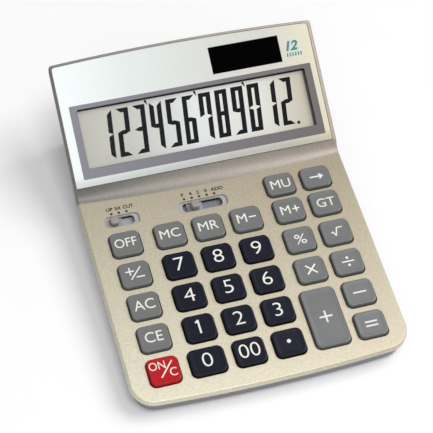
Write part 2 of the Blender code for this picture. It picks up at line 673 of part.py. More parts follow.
def display_head():
    plate = block("display_plate", plate_outline(0), -PLATE_THICKNESS, 0, SILVER, head)
    openings = bmesh.new()
    window = rounded(WINDOW_WIDTH, WINDOW_HEIGHT, WINDOW_CORNER_RADIUS, WINDOW_X, WINDOW_Y)
    for outline in (window, solar_outline(0)):
        stack(openings, (outline, -PLATE_THICKNESS - OVERRUN), (outline, OVERRUN))
    combine(plate, finish_cutter("plate_openings", openings, head), "DIFFERENCE")

    block("display_window", lens_outline(0), PLATE_SEAT - LENS_THICKNESS, PLATE_SEAT,
          ((0.8, 0.85, 0.85), 0.05), head)
    glass_width = WINDOW_WIDTH + 2 * GLASS_MARGIN
    glass_height = WINDOW_HEIGHT + 2 * GLASS_MARGIN
    block("lcd_glass", rectangle(glass_width, glass_height, WINDOW_X, WINDOW_Y), GLASS_BOTTOM, GLASS_TOP,
          ((0.55, 0.57, 0.5), 0.1), head)
    block("solar_cell", solar_outline(SOLAR_MARGIN), PLATE_SEAT - SOLAR_THICKNESS, PLATE_SEAT,
          ((0.01, 0.01, 0.012), 0.1), head)

    frame_width = glass_width + 2 * (GAP + FRAME_WALL)
    frame_front = WINDOW_Y - glass_height / 2 - GAP - FRAME_WALL
    frame_middle = (FRAME_REAR_Y + frame_front) / 2
    outline = rectangle(frame_width, FRAME_REAR_Y - frame_front, WINDOW_X, frame_middle)
    frame = block("display_frame", outline, FRAME_BOTTOM, GLASS_TOP, ((0.7, 0.7, 0.7), 0.6), head)
    pocket = bmesh.new()
    outline = rectangle(glass_width + 2 * GAP, glass_height + 2 * GAP, WINDOW_X, WINDOW_Y)
    stack(pocket, (outline, FRAME_SEAT), (outline, OVERRUN))
    combine(frame, finish_cutter("glass_pocket", pocket, head), "DIFFERENCE")
    slots = bmesh.new()
    ribbon_y = WINDOW_Y - glass_height / 2 + RIBBON_INSET
    for outline in (rectangle(RIBBON_WIDTH + RIBBON_SLOT, RIBBON_SLOT, RIBBON_X, ribbon_y),
                    rectangle(SOLAR_LEAD_WIDTH + RIBBON_SLOT, RIBBON_SLOT, SOLAR_LEAD_X, SOLAR_Y)):
        stack(slots, (outline, FRAME_BOTTOM - OVERRUN), (outline, OVERRUN))
    combine(frame, finish_cutter("ribbon_slot", slots, head), "DIFFERENCE")

    landing = board_landing(BOARD_TOP + GAP + RIBBON_THICKNESS / 2)
    ribbon = head_departure(ribbon_y, GLASS_BOTTOM - GAP)
    strip("lcd_ribbon", smooth_route(ribbon + landing, ROUTE_STEPS), RIBBON_WIDTH, RIBBON_X)
    lead = head_departure(SOLAR_Y, PLATE_SEAT - SOLAR_THICKNESS - GAP)
    lead.append(on_head @ Vector((0, SOLAR_Y - SOLAR_LEAD_RUN, FRAME_BOTTOM - 2 * RIBBON_SLOT)))
    strip("solar_lead", smooth_route(lead + landing, ROUTE_STEPS), SOLAR_LEAD_WIDTH, SOLAR_LEAD_X)


def head_departure(y, top):
    """First points of a lead that leaves a part straight down through the display frame."""
    return [on_head @ Vector((0, y, top)),
            on_head @ Vector((0, y, FRAME_BOTTOM - GAP)),
            on_head @ Vector((0, y - RIBBON_SLOT, FRAME_BOTTOM - RIBBON_SLOT))]


def board_landing(height):
    """Last points of a lead that comes down onto the rear edge of the board."""
    return [deck_matrix @ Vector((0, BOARD_REAR_Y + RIBBON_LANDING, height + LANDING_RISE)),
            deck_matrix @ Vector((0, BOARD_REAR_Y - GAP, height)),
            deck_matrix @ Vector((0, BOARD_REAR_Y - WIRE_LANDING, height))]


# Keys: hollow caps with a flange under the cover and a post over a dome

def key_cap(name, look):
    x, y, width, depth = KEY_BOXES[name]

    def ring(inset, radius):
        return rounded(width - 2 * inset, depth - 2 * inset, radius)

    post = rounded(2 * KEY_POST_RADIUS, 2 * KEY_POST_RADIUS, KEY_POST_RADIUS)
    edge_radius = KEY_CORNER_RADIUS - KEY_TAPER
    ceiling = KEY_PROUD - KEY_WALL - KEY_DISH
    bm = bmesh.new()
    stack(bm,
          (ring(KEY_TAPER + KEY_DISH_MARGIN, edge_radius), KEY_PROUD - KEY_DISH),
          (ring(KEY_TAPER + KEY_EDGE, edge_radius), KEY_PROUD),
          (ring(KEY_TAPER, KEY_CORNER_RADIUS - KEY_TAPER), KEY_PROUD - KEY_EDGE),
          (ring(0, KEY_CORNER_RADIUS), FLANGE_TOP),
          (ring(-KEY_FLANGE, KEY_CORNER_RADIUS), FLANGE_TOP),
          (ring(-KEY_FLANGE, KEY_CORNER_RADIUS), FLANGE_BOTTOM),
          (ring(KEY_WALL, KEY_CORNER_RADIUS - KEY_WALL), FLANGE_BOTTOM),
          (ring(KEY_WALL + KEY_TAPER, KEY_CORNER_RADIUS - KEY_WALL), ceiling),
          (post, ceiling),
          (post, POST_TIP))
    finish_object(name, bm, look, deck, (x, y, 0))


# Slide switches: a knob on a carrier plate, over a switch body on the board

def slide_switch(name, x, pitch, steps, rest_step):
    knob_x = x + (rest_step - steps / 2) * pitch
    travel_cover = 2 * (KNOB_RADIUS + CARRIER_OVERLAP)
    bm = bmesh.new()
    stack(bm, (circle(KNOB_RADIUS - KNOB_EDGE), KNOB_PROUD), (circle(KNOB_RADIUS), KNOB_PROUD - KNOB_EDGE),
          (circle(KNOB_RADIUS), FLANGE_TOP - CARRIER_THICKNESS / 2))
    slider = finish_object(name + "_slider", bm, CHAMPAGNE, deck, (knob_x, SWITCH_Y, 0))
    plate = bmesh.new()
    outline = rectangle(travel_cover, CARRIER_HEIGHT, knob_x, SWITCH_Y)
    stack(plate, (outline, FLANGE_TOP - CARRIER_THICKNESS), (outline, FLANGE_TOP))
    combine(slider, finish_cutter(name + "_carrier", plate, deck), "UNION")

    body = rectangle(slot_length(pitch, steps), SWITCH_BODY_HEIGHT, x, SWITCH_Y)
    block(name + "_switch_body", body, BOARD_TOP + GAP, FLANGE_TOP - CARRIER_THICKNESS - GAP, SWITCH_GREY, deck)


# Key mat and main board, both parallel to the deck

def key_mat():
    left = min(x - width / 2 for x, _, width, _ in KEY_BOXES.values()) - MAT_MARGIN
    right = max(x + width / 2 for x, _, width, _ in KEY_BOXES.values()) + MAT_MARGIN
    step_x = KEY_BOXES["key_mu"][0] - KEY_WIDTH / 2 - MAT_MARGIN
    low = BOARD_FRONT_Y + GAP
    middle = ROW_Y["memory"] + MEMORY_KEY_DEPTH / 2 + MAT_MARGIN
    high = ROW_Y["top"] + DOME_RADIUS
    outline = [(right, low), (right, high), (step_x, high), (step_x, middle), (left, middle), (left, low)]
    mat = block("key_mat", outline, MAT_BOTTOM, MAT_TOP, BLACK_RUBBER, deck)
    domes = bmesh.new()
    for x, y, _, _ in KEY_BOXES.values():
        stack(domes, (circle(DOME_RADIUS, x, y, DOME_SIDES), MAT_TOP - MAT_THICKNESS / 2),
              (circle(DOME_RADIUS, x, y, DOME_SIDES), MAT_TOP),
              (circle(DOME_TOP_RADIUS, x, y, DOME_SIDES), DOME_TOP))
    combine(mat, finish_cutter("key_domes", domes, deck), "UNION")


def main_board():
    outline = rectangle(BOARD_WIDTH, BOARD_REAR_Y - BOARD_FRONT_Y, 0, (BOARD_REAR_Y + BOARD_FRONT_Y) / 2)
    board = block("main_board", outline, BOARD_BOTTOM, BOARD_TOP, BOARD_GREEN, deck)
    chip = bmesh.new()
    x, y = COLUMN_X["d"], ROW_Y["four"]
    stack(chip, (circle(CHIP_RADIUS / 2, x, y), BOARD_BOTTOM - CHIP_HEIGHT),
          (circle(CHIP_RADIUS, x, y), BOARD_BOTTOM - CHIP_HEIGHT / 3),
          (circle(CHIP_RADIUS, x, y), BOARD_BOTTOM + BOARD_THICKNESS / 2))
    combine(board, finish_cutter("chip", chip, deck), "UNION")


# Bottom case: a tub with drafted walls, pillars for the screws and the board, and a battery cradle

def lowered(grid, height, inset):
    """A grid brought down to a level height, drawn in by the walls' draft and by an inset."""
    chains = []
    for chain in grid:
        points = []
        for index, point in enumerate(chain):
            shrink = math.tan(CASE_DRAFT) * (point.z - height) + inset
            y = point.y + shrink * {0: 1, len(chain) - 1: -1}.get(index, 0)
            points.append(Vector((point.x * (1 - shrink / (DECK_WIDTH / 2)), y, height)))
        chains.append(points)
    return chains


def case_top(wall, drop):
    """Grid of points of the tub's upper border, inset by a wall."""
    side, front = CASE_STEP + wall, FRONT_STEP + wall
    return [surface(u, drop, side, front, side) for u in stations(side)]


def case_solid():
    """The tub's outer shape, solid, with its bottom edges chamfered."""
    top = case_top(0, SKIRT + GAP)
    return loft([top, lowered(top, FOOT_PROUD + CASE_CHAMFER, 0), lowered(top, FOOT_PROUD, CASE_CHAMFER)])


def cell_place():
    """World Y and Z of the battery's axis, close to the rear wall and above its cover."""
    inner_rear = surface(0, SKIRT, CASE_STEP + CASE_WALL, 0, CASE_STEP + CASE_WALL)[-1]
    axis_z = FOOT_PROUD + FLOOR + GAP + TAB_THICKNESS + GAP + CELL_RADIUS
    rear_y = inner_rear.y - math.tan(CASE_DRAFT) * (inner_rear.z - axis_z)
    return rear_y - CELL_REAR_CLEARANCE - CELL_RADIUS, axis_z


CELL_Y, CELL_Z = cell_place()
CELL_X = -CRADLE_HALF + GAP + CONTACT_THICKNESS + GAP + CELL_LENGTH / 2
COVER_FRONT_Y = CELL_Y - CELL_RADIUS
COVER_REAR_Y = CELL_Y + CELL_RADIUS + CELL_REAR_CLEARANCE


def bottom_case():
    case = finish_object("bottom_case", case_solid(), CASE_GREY)
    floor_top = FOOT_PROUD + FLOOR
    inner = case_top(CASE_WALL, SKIRT + GAP - OVERRUN)
    combine(case, finish_cutter("case_hollow", loft([inner, lowered(inner, floor_top, 0)])), "DIFFERENCE")
    inside = floor_top - FLOOR / 2

    pillars = bmesh.new()
    for _, x, y, drop in SCREWS:
        outline = circle(PILLAR_RADIUS, x, world_y(y))
        stack(pillars, (outline, inside), (outline, deck_height(y, drop) - GAP))
    for x in (-FRONT_SCREW_X, 0, FRONT_SCREW_X):
        for y in (ROW_Y["one"] + KEY_PITCH_Y / 2, ROW_Y["memory"]):
            outline = circle(BOARD_PILLAR_RADIUS, x, world_y(y))
            clearance = GAP + BOARD_PILLAR_RADIUS * math.tan(DECK_SLOPE)
            stack(pillars, (outline, inside), (outline, deck_height(y, clearance - BOARD_BOTTOM)))
    combine(case, finish_cutter("case_pillars", pillars), "UNION")

    wall_y = COVER_FRONT_Y - GAP - CRADLE_WALL / 2
    cradle_top = floor_top + CRADLE_HEIGHT
    cradle = bmesh.new()
    outline = rectangle(2 * (CRADLE_HALF + CRADLE_WALL), CRADLE_WALL, 0, wall_y)
    stack(cradle, (outline, inside), (outline, cradle_top))
    combine(case, finish_cutter("cradle_front", cradle), "UNION")
    cradle_ends = bmesh.new()
    for side in (-1, 1):
        outline = rectangle(CRADLE_WALL, COVER_REAR_Y - wall_y,
                            side * (CRADLE_HALF + CRADLE_WALL / 2), (COVER_REAR_Y + wall_y) / 2)
        stack(cradle_ends, (outline, inside), (outline, cradle_top))
    combine(case, finish_cutter("cradle_ends", cradle_ends), "UNION")

    bores = bmesh.new()
    for _, x, y, drop in SCREWS:
        outline = circle(SCREW_RADIUS + GAP, x, world_y(y))
        stack(bores, (outline, FOOT_PROUD), (outline, deck_height(y, drop) + OVERRUN))
    combine(case, finish_cutter("case_bores", bores), "DIFFERENCE")
    seats = bmesh.new()
    for _, x, y, _ in SCREWS:
        outline = circle(SCREW_HEAD_RADIUS + GAP, x, world_y(y))
        stack(seats, (outline, FOOT_PROUD - OVERRUN), (outline, screw_seat()))
    for _, x, y in FEET:
        outline = circle(FOOT_RADIUS + GAP, x, world_y(y))
        stack(seats, (outline, FOOT_PROUD - OVERRUN), (outline, FOOT_THICKNESS + GAP))
    combine(case, finish_cutter("case_seats", seats), "DIFFERENCE")

    opening = battery_cover_profile(GAP)
    combine(case, profile_block("battery_opening", opening, BATTERY_COVER_WIDTH + 2 * GAP), "DIFFERENCE")


def screw_seat():
    return FOOT_PROUD + SCREW_HEAD_DEPTH + SCREW_HEAD_HEIGHT + GAP


def battery_cover_profile(margin):
    """Side profile of the battery cover, from its front edge through the rear wall."""
    floor_top = FOOT_PROUD + FLOOR
    plate_top = floor_top + margin * 2
    wall_front = COVER_REAR_Y - BATTERY_COVER_UPSTAND_THICKNESS - margin
    top = floor_top + BATTERY_COVER_UPSTAND + margin
    beyond = case_length / 2 + OVERRUN
    front = COVER_FRONT_Y - margin
    return [(front, 0), (beyond, 0), (beyond, top), (wall_front, top),
            (wall_front, plate_top), (front, plate_top)]


def profile_block(name, profile, width):
    """Guide block: a Y-Z profile carried across the battery cover's width."""
    bm = bmesh.new()
    faces = []
    for x in (-width / 2, width / 2):
        faces.append([bm.verts.new((x, y, z)) for y, z in profile])
    for index in range(len(profile)):
        following = (index + 1) % len(profile)
        bm.faces.new((faces[0][index], faces[0][following], faces[1][following], faces[1][index]))
    bm.faces.new(faces[0])
    bm.faces.new(faces[1])
    return finish_cutter(name, bm)


def battery_cover():
    cover = finish_object("battery_cover", case_solid(), CASE_GREY)
    profile = battery_cover_profile(0)
    combine(cover, profile_block("battery_cover_block", profile, BATTERY_COVER_WIDTH), "INTERSECT")
    floor_top = FOOT_PROUD + FLOOR
    tab_y = COVER_FRONT_Y + GAP + TAB_LENGTH / 2
    tab_top = floor_top + GAP + TAB_THICKNESS
    foot = bmesh.new()
    narrow = rectangle(BATTERY_COVER_WIDTH - 2 * TAB_REACH, TAB_LENGTH, 0, tab_y)
    stack(foot, (narrow, floor_top - FLOOR / 2), (narrow, tab_top))
    combine(cover, finish_cutter("battery_cover_foot", foot), "UNION")
    tab = bmesh.new()
    wide = rectangle(BATTERY_COVER_WIDTH + 2 * TAB_REACH, TAB_LENGTH, 0, tab_y)
    stack(tab, (wide, floor_top + GAP), (wide, tab_top))
    combine(cover, finish_cutter("battery_cover_tab", tab), "UNION")


def lay_along_x(bm):
    """Turns a solid built upright about the Z axis so that it lies along the battery's axis."""
    turn = Matrix.Translation((CELL_X, CELL_Y, CELL_Z)) @ Matrix.Rotation(math.pi / 2, 4, "Y")
    bmesh.ops.transform(bm, matrix=turn, verts=bm.verts)


def battery():
    bm = bmesh.new()
    end = CELL_LENGTH / 2
    stack(bm, (circle(CELL_NUB_RADIUS), -end), (circle(CELL_NUB_RADIUS), CELL_NUB_LENGTH - end),
          (circle(CELL_RADIUS), CELL_NUB_LENGTH - end), (circle(CELL_RADIUS), end))
    lay_along_x(bm)
    finish_object("battery_cell", bm, ((0.1, 0.1, 0.1), 0.3, 0.5))

    contact_x = -CRADLE_HALF + GAP + CONTACT_THICKNESS / 2
    contact_top = CELL_Z + CONTACT_HEIGHT / 2
    block("battery_contact", rectangle(CONTACT_THICKNESS, CONTACT_WIDTH, contact_x, CELL_Y),
          contact_top - CONTACT_HEIGHT, contact_top, STEEL)

    turns = SPRING_TURNS * SPRING_STEPS
    start = CELL_X + CELL_LENGTH / 2 + GAP + SPRING_WIRE
    end = CRADLE_HALF - GAP - SPRING_WIRE
    coil = []
    for step in range(turns + 1):
        share = step / turns
        angle = math.tau * (step / SPRING_STEPS + 1 / 4)
        radius = SPRING_TIP_RADIUS + (SPRING_RADIUS - SPRING_TIP_RADIUS) * share
        coil.append(Vector((start + (end - start) * share,
                            CELL_Y + radius * math.cos(angle), CELL_Z + radius * math.sin(angle))))
    tube("battery_spring", coil, SPRING_WIRE, STEEL, smoothness=1)

    for name, foot, board_x, look in (
            ("battery_wire_positive", Vector((contact_x, CELL_Y, contact_top)), POSITIVE_WIRE_X,
             ((0.5, 0.02, 0.02), 0.5)),
            ("battery_wire_negative", Vector((end, CELL_Y, CELL_Z + SPRING_RADIUS)), NEGATIVE_WIRE_X,
             ((0.02, 0.02, 0.02), 0.5))):
        start = foot + Vector((0, 0, GAP + WIRE_RADIUS))
        landing = board_landing(BOARD_TOP + GAP + WIRE_RADIUS)
        for point in landing:
            point.x = board_x
        route = [start, start + Vector((0, 0, WIRE_RISE)),
                 start.lerp(landing[0], 1 / 2) + Vector((0, 0, WIRE_RISE)), *landing]
        tube(name, smooth_route(route, ROUTE_STEPS), WIRE_RADIUS, look)


# Small parts that repeat: feet and case screws

FEET = tuple((f"foot_{end}_{side_name}", side * FOOT_X, y)
             for end, y in (("front", FRONT_FOOT_Y), ("rear", REAR_FOOT_Y))
             for side_name, side in (("left", -1), ("right", 1)))


def feet_and_screws():
    for name, x, y in FEET:
        block(name, circle(FOOT_RADIUS, x, world_y(y)), 0, FOOT_THICKNESS, BLACK_RUBBER)
    for name, x, y, drop in SCREWS:
        head_outline = circle(SCREW_HEAD_RADIUS, x, world_y(y))
        shank = circle(SCREW_RADIUS, x, world_y(y))
        head_bottom = FOOT_PROUD + SCREW_HEAD_DEPTH
        head_top = head_bottom + SCREW_HEAD_HEIGHT
        tip = deck_height(y, drop) + SCREW_GRIP
        bm = bmesh.new()
        stack(bm, (head_outline, head_bottom), (head_outline, head_top), (shank, head_top), (shank, tip))
        finish_object("screw_" + name, bm, STEEL)


top_cover()
display_head()
for key_name, _, _, key_look in KEYS:
    key_cap(key_name, key_look)
for switch in SWITCHES:
    slide_switch(*switch)
key_mat()
main_board()
bottom_case()
battery_cover()
battery()
feet_and_screws()
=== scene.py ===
"""Desktop calculator on a pale studio floor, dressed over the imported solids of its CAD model."""
import math

import bmesh
import bpy
from mathutils import Matrix, Vector


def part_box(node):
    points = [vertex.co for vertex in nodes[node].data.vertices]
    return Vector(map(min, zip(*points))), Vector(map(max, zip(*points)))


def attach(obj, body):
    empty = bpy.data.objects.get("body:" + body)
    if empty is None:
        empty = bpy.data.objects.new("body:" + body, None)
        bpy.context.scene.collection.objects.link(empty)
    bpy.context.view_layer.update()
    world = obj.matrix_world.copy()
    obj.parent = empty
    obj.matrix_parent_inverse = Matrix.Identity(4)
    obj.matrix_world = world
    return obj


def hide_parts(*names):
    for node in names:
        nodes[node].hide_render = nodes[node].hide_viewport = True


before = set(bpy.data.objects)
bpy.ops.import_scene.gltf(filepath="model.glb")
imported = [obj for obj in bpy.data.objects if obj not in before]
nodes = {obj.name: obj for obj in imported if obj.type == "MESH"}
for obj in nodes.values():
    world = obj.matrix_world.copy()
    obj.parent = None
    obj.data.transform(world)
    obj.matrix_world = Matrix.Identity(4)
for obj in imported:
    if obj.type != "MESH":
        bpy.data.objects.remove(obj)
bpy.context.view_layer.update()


# Bottom case
# A tub moulded in fine grained blue grey plastic, with drafted walls and a chamfer round the base.
# The screws and the rubber feet sit in its floor, and its rim stands inside the cover's skirt.
MM = 0.001


class Signal:
    """A shader value on its way through a finish, on which sums can be written."""

    def __init__(self, finish, socket):
        self.finish = finish
        self.socket = socket

    def sum(self, operation, *values):
        """The result of a Math node's operation."""
        return self.finish.node("ShaderNodeMath", {"operation": operation}, dict(enumerate(values)))

    def __add__(self, other):
        return self.sum("ADD", self, other)

    def __sub__(self, other):
        return self.sum("SUBTRACT", self, other)

    def __rsub__(self, other):
        return self.sum("SUBTRACT", other, self)

    def __mul__(self, other):
        return self.sum("MULTIPLY", self, other)

    def __truediv__(self, other):
        return self.sum("DIVIDE", self, other)

    def __rtruediv__(self, other):
        return self.sum("DIVIDE", other, self)

    def __gt__(self, other):
        return self.sum("GREATER_THAN", self, other)

    def __abs__(self):
        return self.sum("ABSOLUTE", self)

    __radd__ = __add__
    __rmul__ = __mul__


class Finish:
    """One surface finish: a material with its shader, and what varies over it."""

    def __init__(self, name, colour, roughness, metallic=0, **fixed):
        self.material = bpy.data.materials.new(name)
        self.material.use_nodes = True
        self.material.diffuse_color = (*colour, 1)
        self.tree = self.material.node_tree
        self.shader = self.tree.nodes["Principled BSDF"]
        self.set("Base Color", (*colour, 1))
        self.set("Roughness", roughness)
        self.set("Metallic", metallic)
        for words, value in fixed.items():
            self.set(words.replace("_", " ").title().replace("Ior", "IOR"), value)
        self.place = self.node("ShaderNodeTexCoord", {}, {}, "Object")

    def feed(self, socket, value):
        """Gives a socket a value or a signal."""
        if isinstance(value, Signal):
            self.tree.links.new(value.socket, socket)
        else:
            socket.default_value = value

    def set(self, name, value):
        """Sets or feeds one of the shader's sockets."""
        self.feed(self.shader.inputs[name], value)

    def node(self, kind, settings, inputs, output=0):
        """The output of a new node with its settings and its inputs."""
        made = self.tree.nodes.new(kind)
        for name, value in settings.items():
            if name == "stops":
                held = made.color_ramp.elements
                for index, (position, colour) in enumerate(value):
                    stop = held[index] if index < 2 else held.new(position)
                    stop.position = position
                    stop.color = (*colour, 1)
            else:
                setattr(made, name, value)
        for name, value in inputs.items():
            self.feed(made.inputs[name], value)
        return Signal(self, made.outputs[output])

    def noise(self, size, detail=2, stretch=None):
        """Cloudy values from 0 to 1, with grains of about that size in metres."""
        place = self.place
        if stretch:
            place = self.node("ShaderNodeMapping", {}, {"Vector": place, "Scale": stretch})
        return self.node("ShaderNodeTexNoise", {}, {"Vector": place, "Scale": 1 / size, "Detail": detail})

    def mix(self, share, first, second):
        """Colour between two colours, or colour signals, by a share."""
        inputs = {0: share}
        for index, colour in ((6, first), (7, second)):
            inputs[index] = colour if isinstance(colour, Signal) else (*colour, 1)
        return self.node("ShaderNodeMix", {"data_type": "RGBA"}, inputs, 2)

    def times(self, first, second):
        """A colour multiplied by another, colour by colour."""
        return self.node("ShaderNodeMix", {"data_type": "RGBA", "blend_type": "MULTIPLY"},
                         {0: 1.0, 6: first, 7: second}, 2)

    def share(self, value, low, high):
        """How far a value has come from a low to a high one, from 0 to 1."""
        return self.node("ShaderNodeMapRange", {}, {"Value": value, "From Min": low, "From Max": high})

    def along(self, axis):
        """The place along an axis, in metres."""
        return self.node("ShaderNodeSeparateXYZ", {}, {"Vector": self.place}, axis)

    def bump(self, height, depth):
        """Raises the surface by up to a depth in metres."""
        self.set("Normal", self.node("ShaderNodeBump", {}, {"Height": height, "Distance": depth,
                                                            "Strength": 1}))


CLOUD_SIZE = 9 * MM
CLOUDING = 0.1
GLOSS_SWING = 0.1


def moulded(name, colour, roughness, grain=0.25 * MM, depth=0.012 * MM, **fixed):
    """Moulded plastic: a spark eroded grain, faint clouding and slightly uneven gloss."""
    finish = Finish(name, colour, roughness, **fixed)
    grains = finish.noise(grain, 3)
    clouds = finish.noise(CLOUD_SIZE, 3)
    darker = [part * (1 - CLOUDING) for part in colour]
    lighter = [min(part * (1 + CLOUDING), 1) for part in colour]
    finish.set("Base Color", finish.mix(clouds * 0.7 + grains * 0.3, darker, lighter))
    finish.set("Roughness", roughness - GLOSS_SWING / 2 + GLOSS_SWING * grains)
    finish.bump(grains, depth)
    return finish


def placed(name, data):
    """An object of some data, linked into the scene."""
    thing = bpy.data.objects.new(name, data)
    bpy.context.scene.collection.objects.link(thing)
    return thing


def finished(name, mesh, finish, body, slot, *replaced):
    """Makes a piece of a mesh, with its finishes, its body and the solids it stands for. Its slot is not
    used.
    """
    piece = placed(name, mesh)
    for layer in finish if isinstance(finish, list) else [finish]:
        mesh.materials.append(layer.material)
    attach(piece, body)
    if replaced:
        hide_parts(*replaced)


def mesh_of(bm, name):
    """The mesh of a bmesh, which is freed."""
    mesh = bpy.data.meshes.new(name)
    bm.to_mesh(mesh)
    bm.free()
    return mesh


def shaded(mesh, angle):
    """A mesh shaded smooth, apart from the edges sharper than an angle in degrees."""
    mesh.shade_smooth()
    mesh.set_sharp_from_angle(angle=math.radians(angle))
    return mesh


def smoothed(bm, name):
    """A mesh of a bmesh, with its round parts shaded smooth."""
    bmesh.ops.recalc_face_normals(bm, faces=bm.faces)
    return shaded(mesh_of(bm, name), 35)


def settled(thing):
    """A mesh of what an object looks like with its modifiers, in place of the object."""
    shape = thing.evaluated_get(bpy.context.evaluated_depsgraph_get())
    mesh = bpy.data.meshes.new_from_object(shape)
    bpy.data.objects.remove(thing)
    return mesh


def weighted(mesh, angle):
    """A smooth shaded mesh whose flat faces stay flat beside its round edges."""
    shape = placed("work", shaded(mesh, angle))
    shape.modifiers.new("normals", "WEIGHTED_NORMAL").keep_sharp = True
    even = settled(shape)
    bpy.data.meshes.remove(mesh)
    return even


def edges_sharper(bm, degrees):
    """The edges between two faces that meet at more than an angle."""
    return [edge for edge in bm.edges if len(edge.link_faces) == 2
            and edge.calc_face_angle(0) > math.radians(degrees)]


def rounded(bm, places, radius, steps, kind="EDGES"):
    """Rounds off edges or corners."""
    bmesh.ops.bevel(bm, geom=places, offset=radius, segments=steps, profile=0.5, affect=kind, material=-1,
                    clamp_overlap=kind == "EDGES")


MERGE = 0.002 * MM


def refined(node, edge_radius=0):
    """A merged copy of a solid, with its flat sides joined up and its edges rounded."""
    bm = bmesh.new()
    bm.from_mesh(nodes[node].data)
    bmesh.ops.remove_doubles(bm, verts=bm.verts, dist=MERGE)
    bmesh.ops.dissolve_limit(bm, angle_limit=math.radians(0.5), verts=bm.verts, edges=bm.edges)
    if edge_radius:
        rounded(bm, edges_sharper(bm, 50), edge_radius, 2)
    return weighted(smoothed(bm, node + "_fine"), 35)


case_finish = moulded("case_blue_grey", (0.21, 0.205, 0.245), 0.42, grain=0.3 * MM, depth=0.02 * MM)
finished("lower_case", refined("bottom_case"), case_finish, "case", "case_grey", "bottom_case")


# Battery cover
# A plate of the same blue grey plastic that closes the battery bay and turns up the rear wall.
# It slides out to the rear, held by a tongue behind its front edge.
finished("battery_door", refined("battery_cover", 0.15 * MM), case_finish, "battery_cover", "case_grey",
         "battery_cover")


# Feet
# Four turned pads of black rubber with softened edges.
# They are pressed into shallow seats in the floor of the case.
rubber = moulded("foot_rubber", (0.028, 0.028, 0.028), 0.75, grain=0.15 * MM, depth=0.03 * MM)


def centre_of(node):
    """The middle and the size of a solid."""
    low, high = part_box(node)
    return (Vector(low) + Vector(high)) / 2, Vector(high) - Vector(low)


def turned(profile, steps=48):
    """A turned piece: a profile of radius and height, spun round the Z axis."""
    bm = bmesh.new()
    rim = [bm.verts.new((radius, 0, height)) for radius, height in profile]
    edges = [bm.edges.new(pair) for pair in zip(rim, rim[1:])]
    bmesh.ops.spin(bm, geom=rim + edges, cent=(0, 0, 0), axis=(0, 0, 1), dvec=(0, 0, 0),
                   angle=math.tau, steps=steps, use_merge=True)
    bmesh.ops.remove_doubles(bm, verts=bm.verts, dist=MERGE)
    return bm


CORNERS = ("front_left", "front_right", "rear_left", "rear_right")
EDGE, EDGE_MIDDLE = 0.4 * MM, 0.12 * MM
for corner in CORNERS:
    middle, size = centre_of("foot_" + corner)
    radius, half = size.x / 2, size.z / 2
    pad = turned([(0, half), (radius, half), (radius, EDGE - half),
                  (radius - EDGE_MIDDLE, EDGE_MIDDLE - half), (radius - EDGE, -half), (0, -half)])
    bmesh.ops.translate(pad, vec=middle, verts=pad.verts)
    finished("pad_" + corner, smoothed(pad, "pad_" + corner), rubber, "case", "rubber_black",
             "foot_" + corner)


# Case screws
# Four plated self tapping screws with pan heads, and a cross recess in each.
# They are sunk in the floor of the case and hold the two halves together.
plated = Finish("plated_steel", (0.56, 0.56, 0.57), 0.28, metallic=1)
streaks = plated.noise(0.2 * MM, 3, (1, 1, 0.1))
plated.set("Roughness", 0.22 + 0.16 * streaks)
plated.bump(streaks, 0.01 * MM)


def carve(mesh, cutter, operation="DIFFERENCE", crossing=False):
    """A mesh cut by the shapes of a bmesh, which may cross each other if that is said."""
    bmesh.ops.recalc_face_normals(cutter, faces=cutter.faces)
    tool = placed("tool", mesh_of(cutter, "tool"))
    work = placed("work", mesh)
    step = work.modifiers.new("cut", "BOOLEAN")
    step.operation = operation
    step.solver = "EXACT"
    step.use_self = crossing
    step.object = tool
    result = settled(work)
    bpy.data.objects.remove(tool)
    bpy.data.meshes.remove(mesh)
    return result


def draw_out(bm, faces, lone=False):
    """Extrudes joined faces, and returns the new ones and their corners.

    The old faces are taken away, unless they are a lone sheet, which then closes the back.
    """
    moved = bmesh.ops.extrude_face_region(bm, geom=faces)["geom"]
    if not lone:
        bmesh.ops.delete(bm, geom=faces, context="FACES")
    return ([item for item in moved if isinstance(item, bmesh.types.BMFace)],
            [item for item in moved if isinstance(item, bmesh.types.BMVert)])


def rectangle(bm, width, depth, height, x=0, y=0):
    """Adds a flat rectangle at a height, and returns its corners."""
    corners = bmesh.ops.create_grid(bm, x_segments=1, y_segments=1, size=0.5)["verts"]
    bmesh.ops.scale(bm, vec=(width, depth, 1), verts=corners)
    bmesh.ops.translate(bm, vec=(x, y, height), verts=corners)
    return corners


def slab(bm, width, depth, low, high, x=0, y=0, radius=0, steps=8):
    """Adds a slab between two heights, with round corners if a radius is given, and returns its top."""
    known = set(bm.faces)
    corners = rectangle(bm, width, depth, low, x, y)
    if radius:
        rounded(bm, corners, radius, steps, "VERTICES")
    top, places = draw_out(bm, [face for face in bm.faces if face not in known], True)
    bmesh.ops.translate(bm, vec=(0, 0, high - low), verts=places)
    return top


SHANK, RECESS = 0.8 * MM, 0.45 * MM
for corner in CORNERS:
    middle, size = centre_of("screw_" + corner)
    low, high = middle.z - size.z / 2, middle.z + size.z / 2
    head = size.x / 2
    screw = turned([(0, high), (0.2 * MM, high), (SHANK, high - 1.2 * MM), (SHANK, low + 1.2 * MM),
                    (head, low + 1.2 * MM), (head, low + 0.5 * MM), (head * 0.86, low + 0.15 * MM),
                    (head * 0.6, low), (0, low)])
    bmesh.ops.translate(screw, vec=(middle.x, middle.y, 0), verts=screw.verts)
    bmesh.ops.recalc_face_normals(screw, faces=screw.faces)
    body = mesh_of(screw, "screw")
    for width, depth, sunk in ((head * 1.1, RECESS, 0.7 * MM), (RECESS, head * 1.1, 0.68 * MM)):
        cross = bmesh.new()
        slab(cross, width, depth, low - 1 * MM, low + sunk, middle.x, middle.y)
        body = carve(body, cross)
    finished("case_screw_" + corner, shaded(body, 35), plated, "case", "steel", "screw_" + corner)
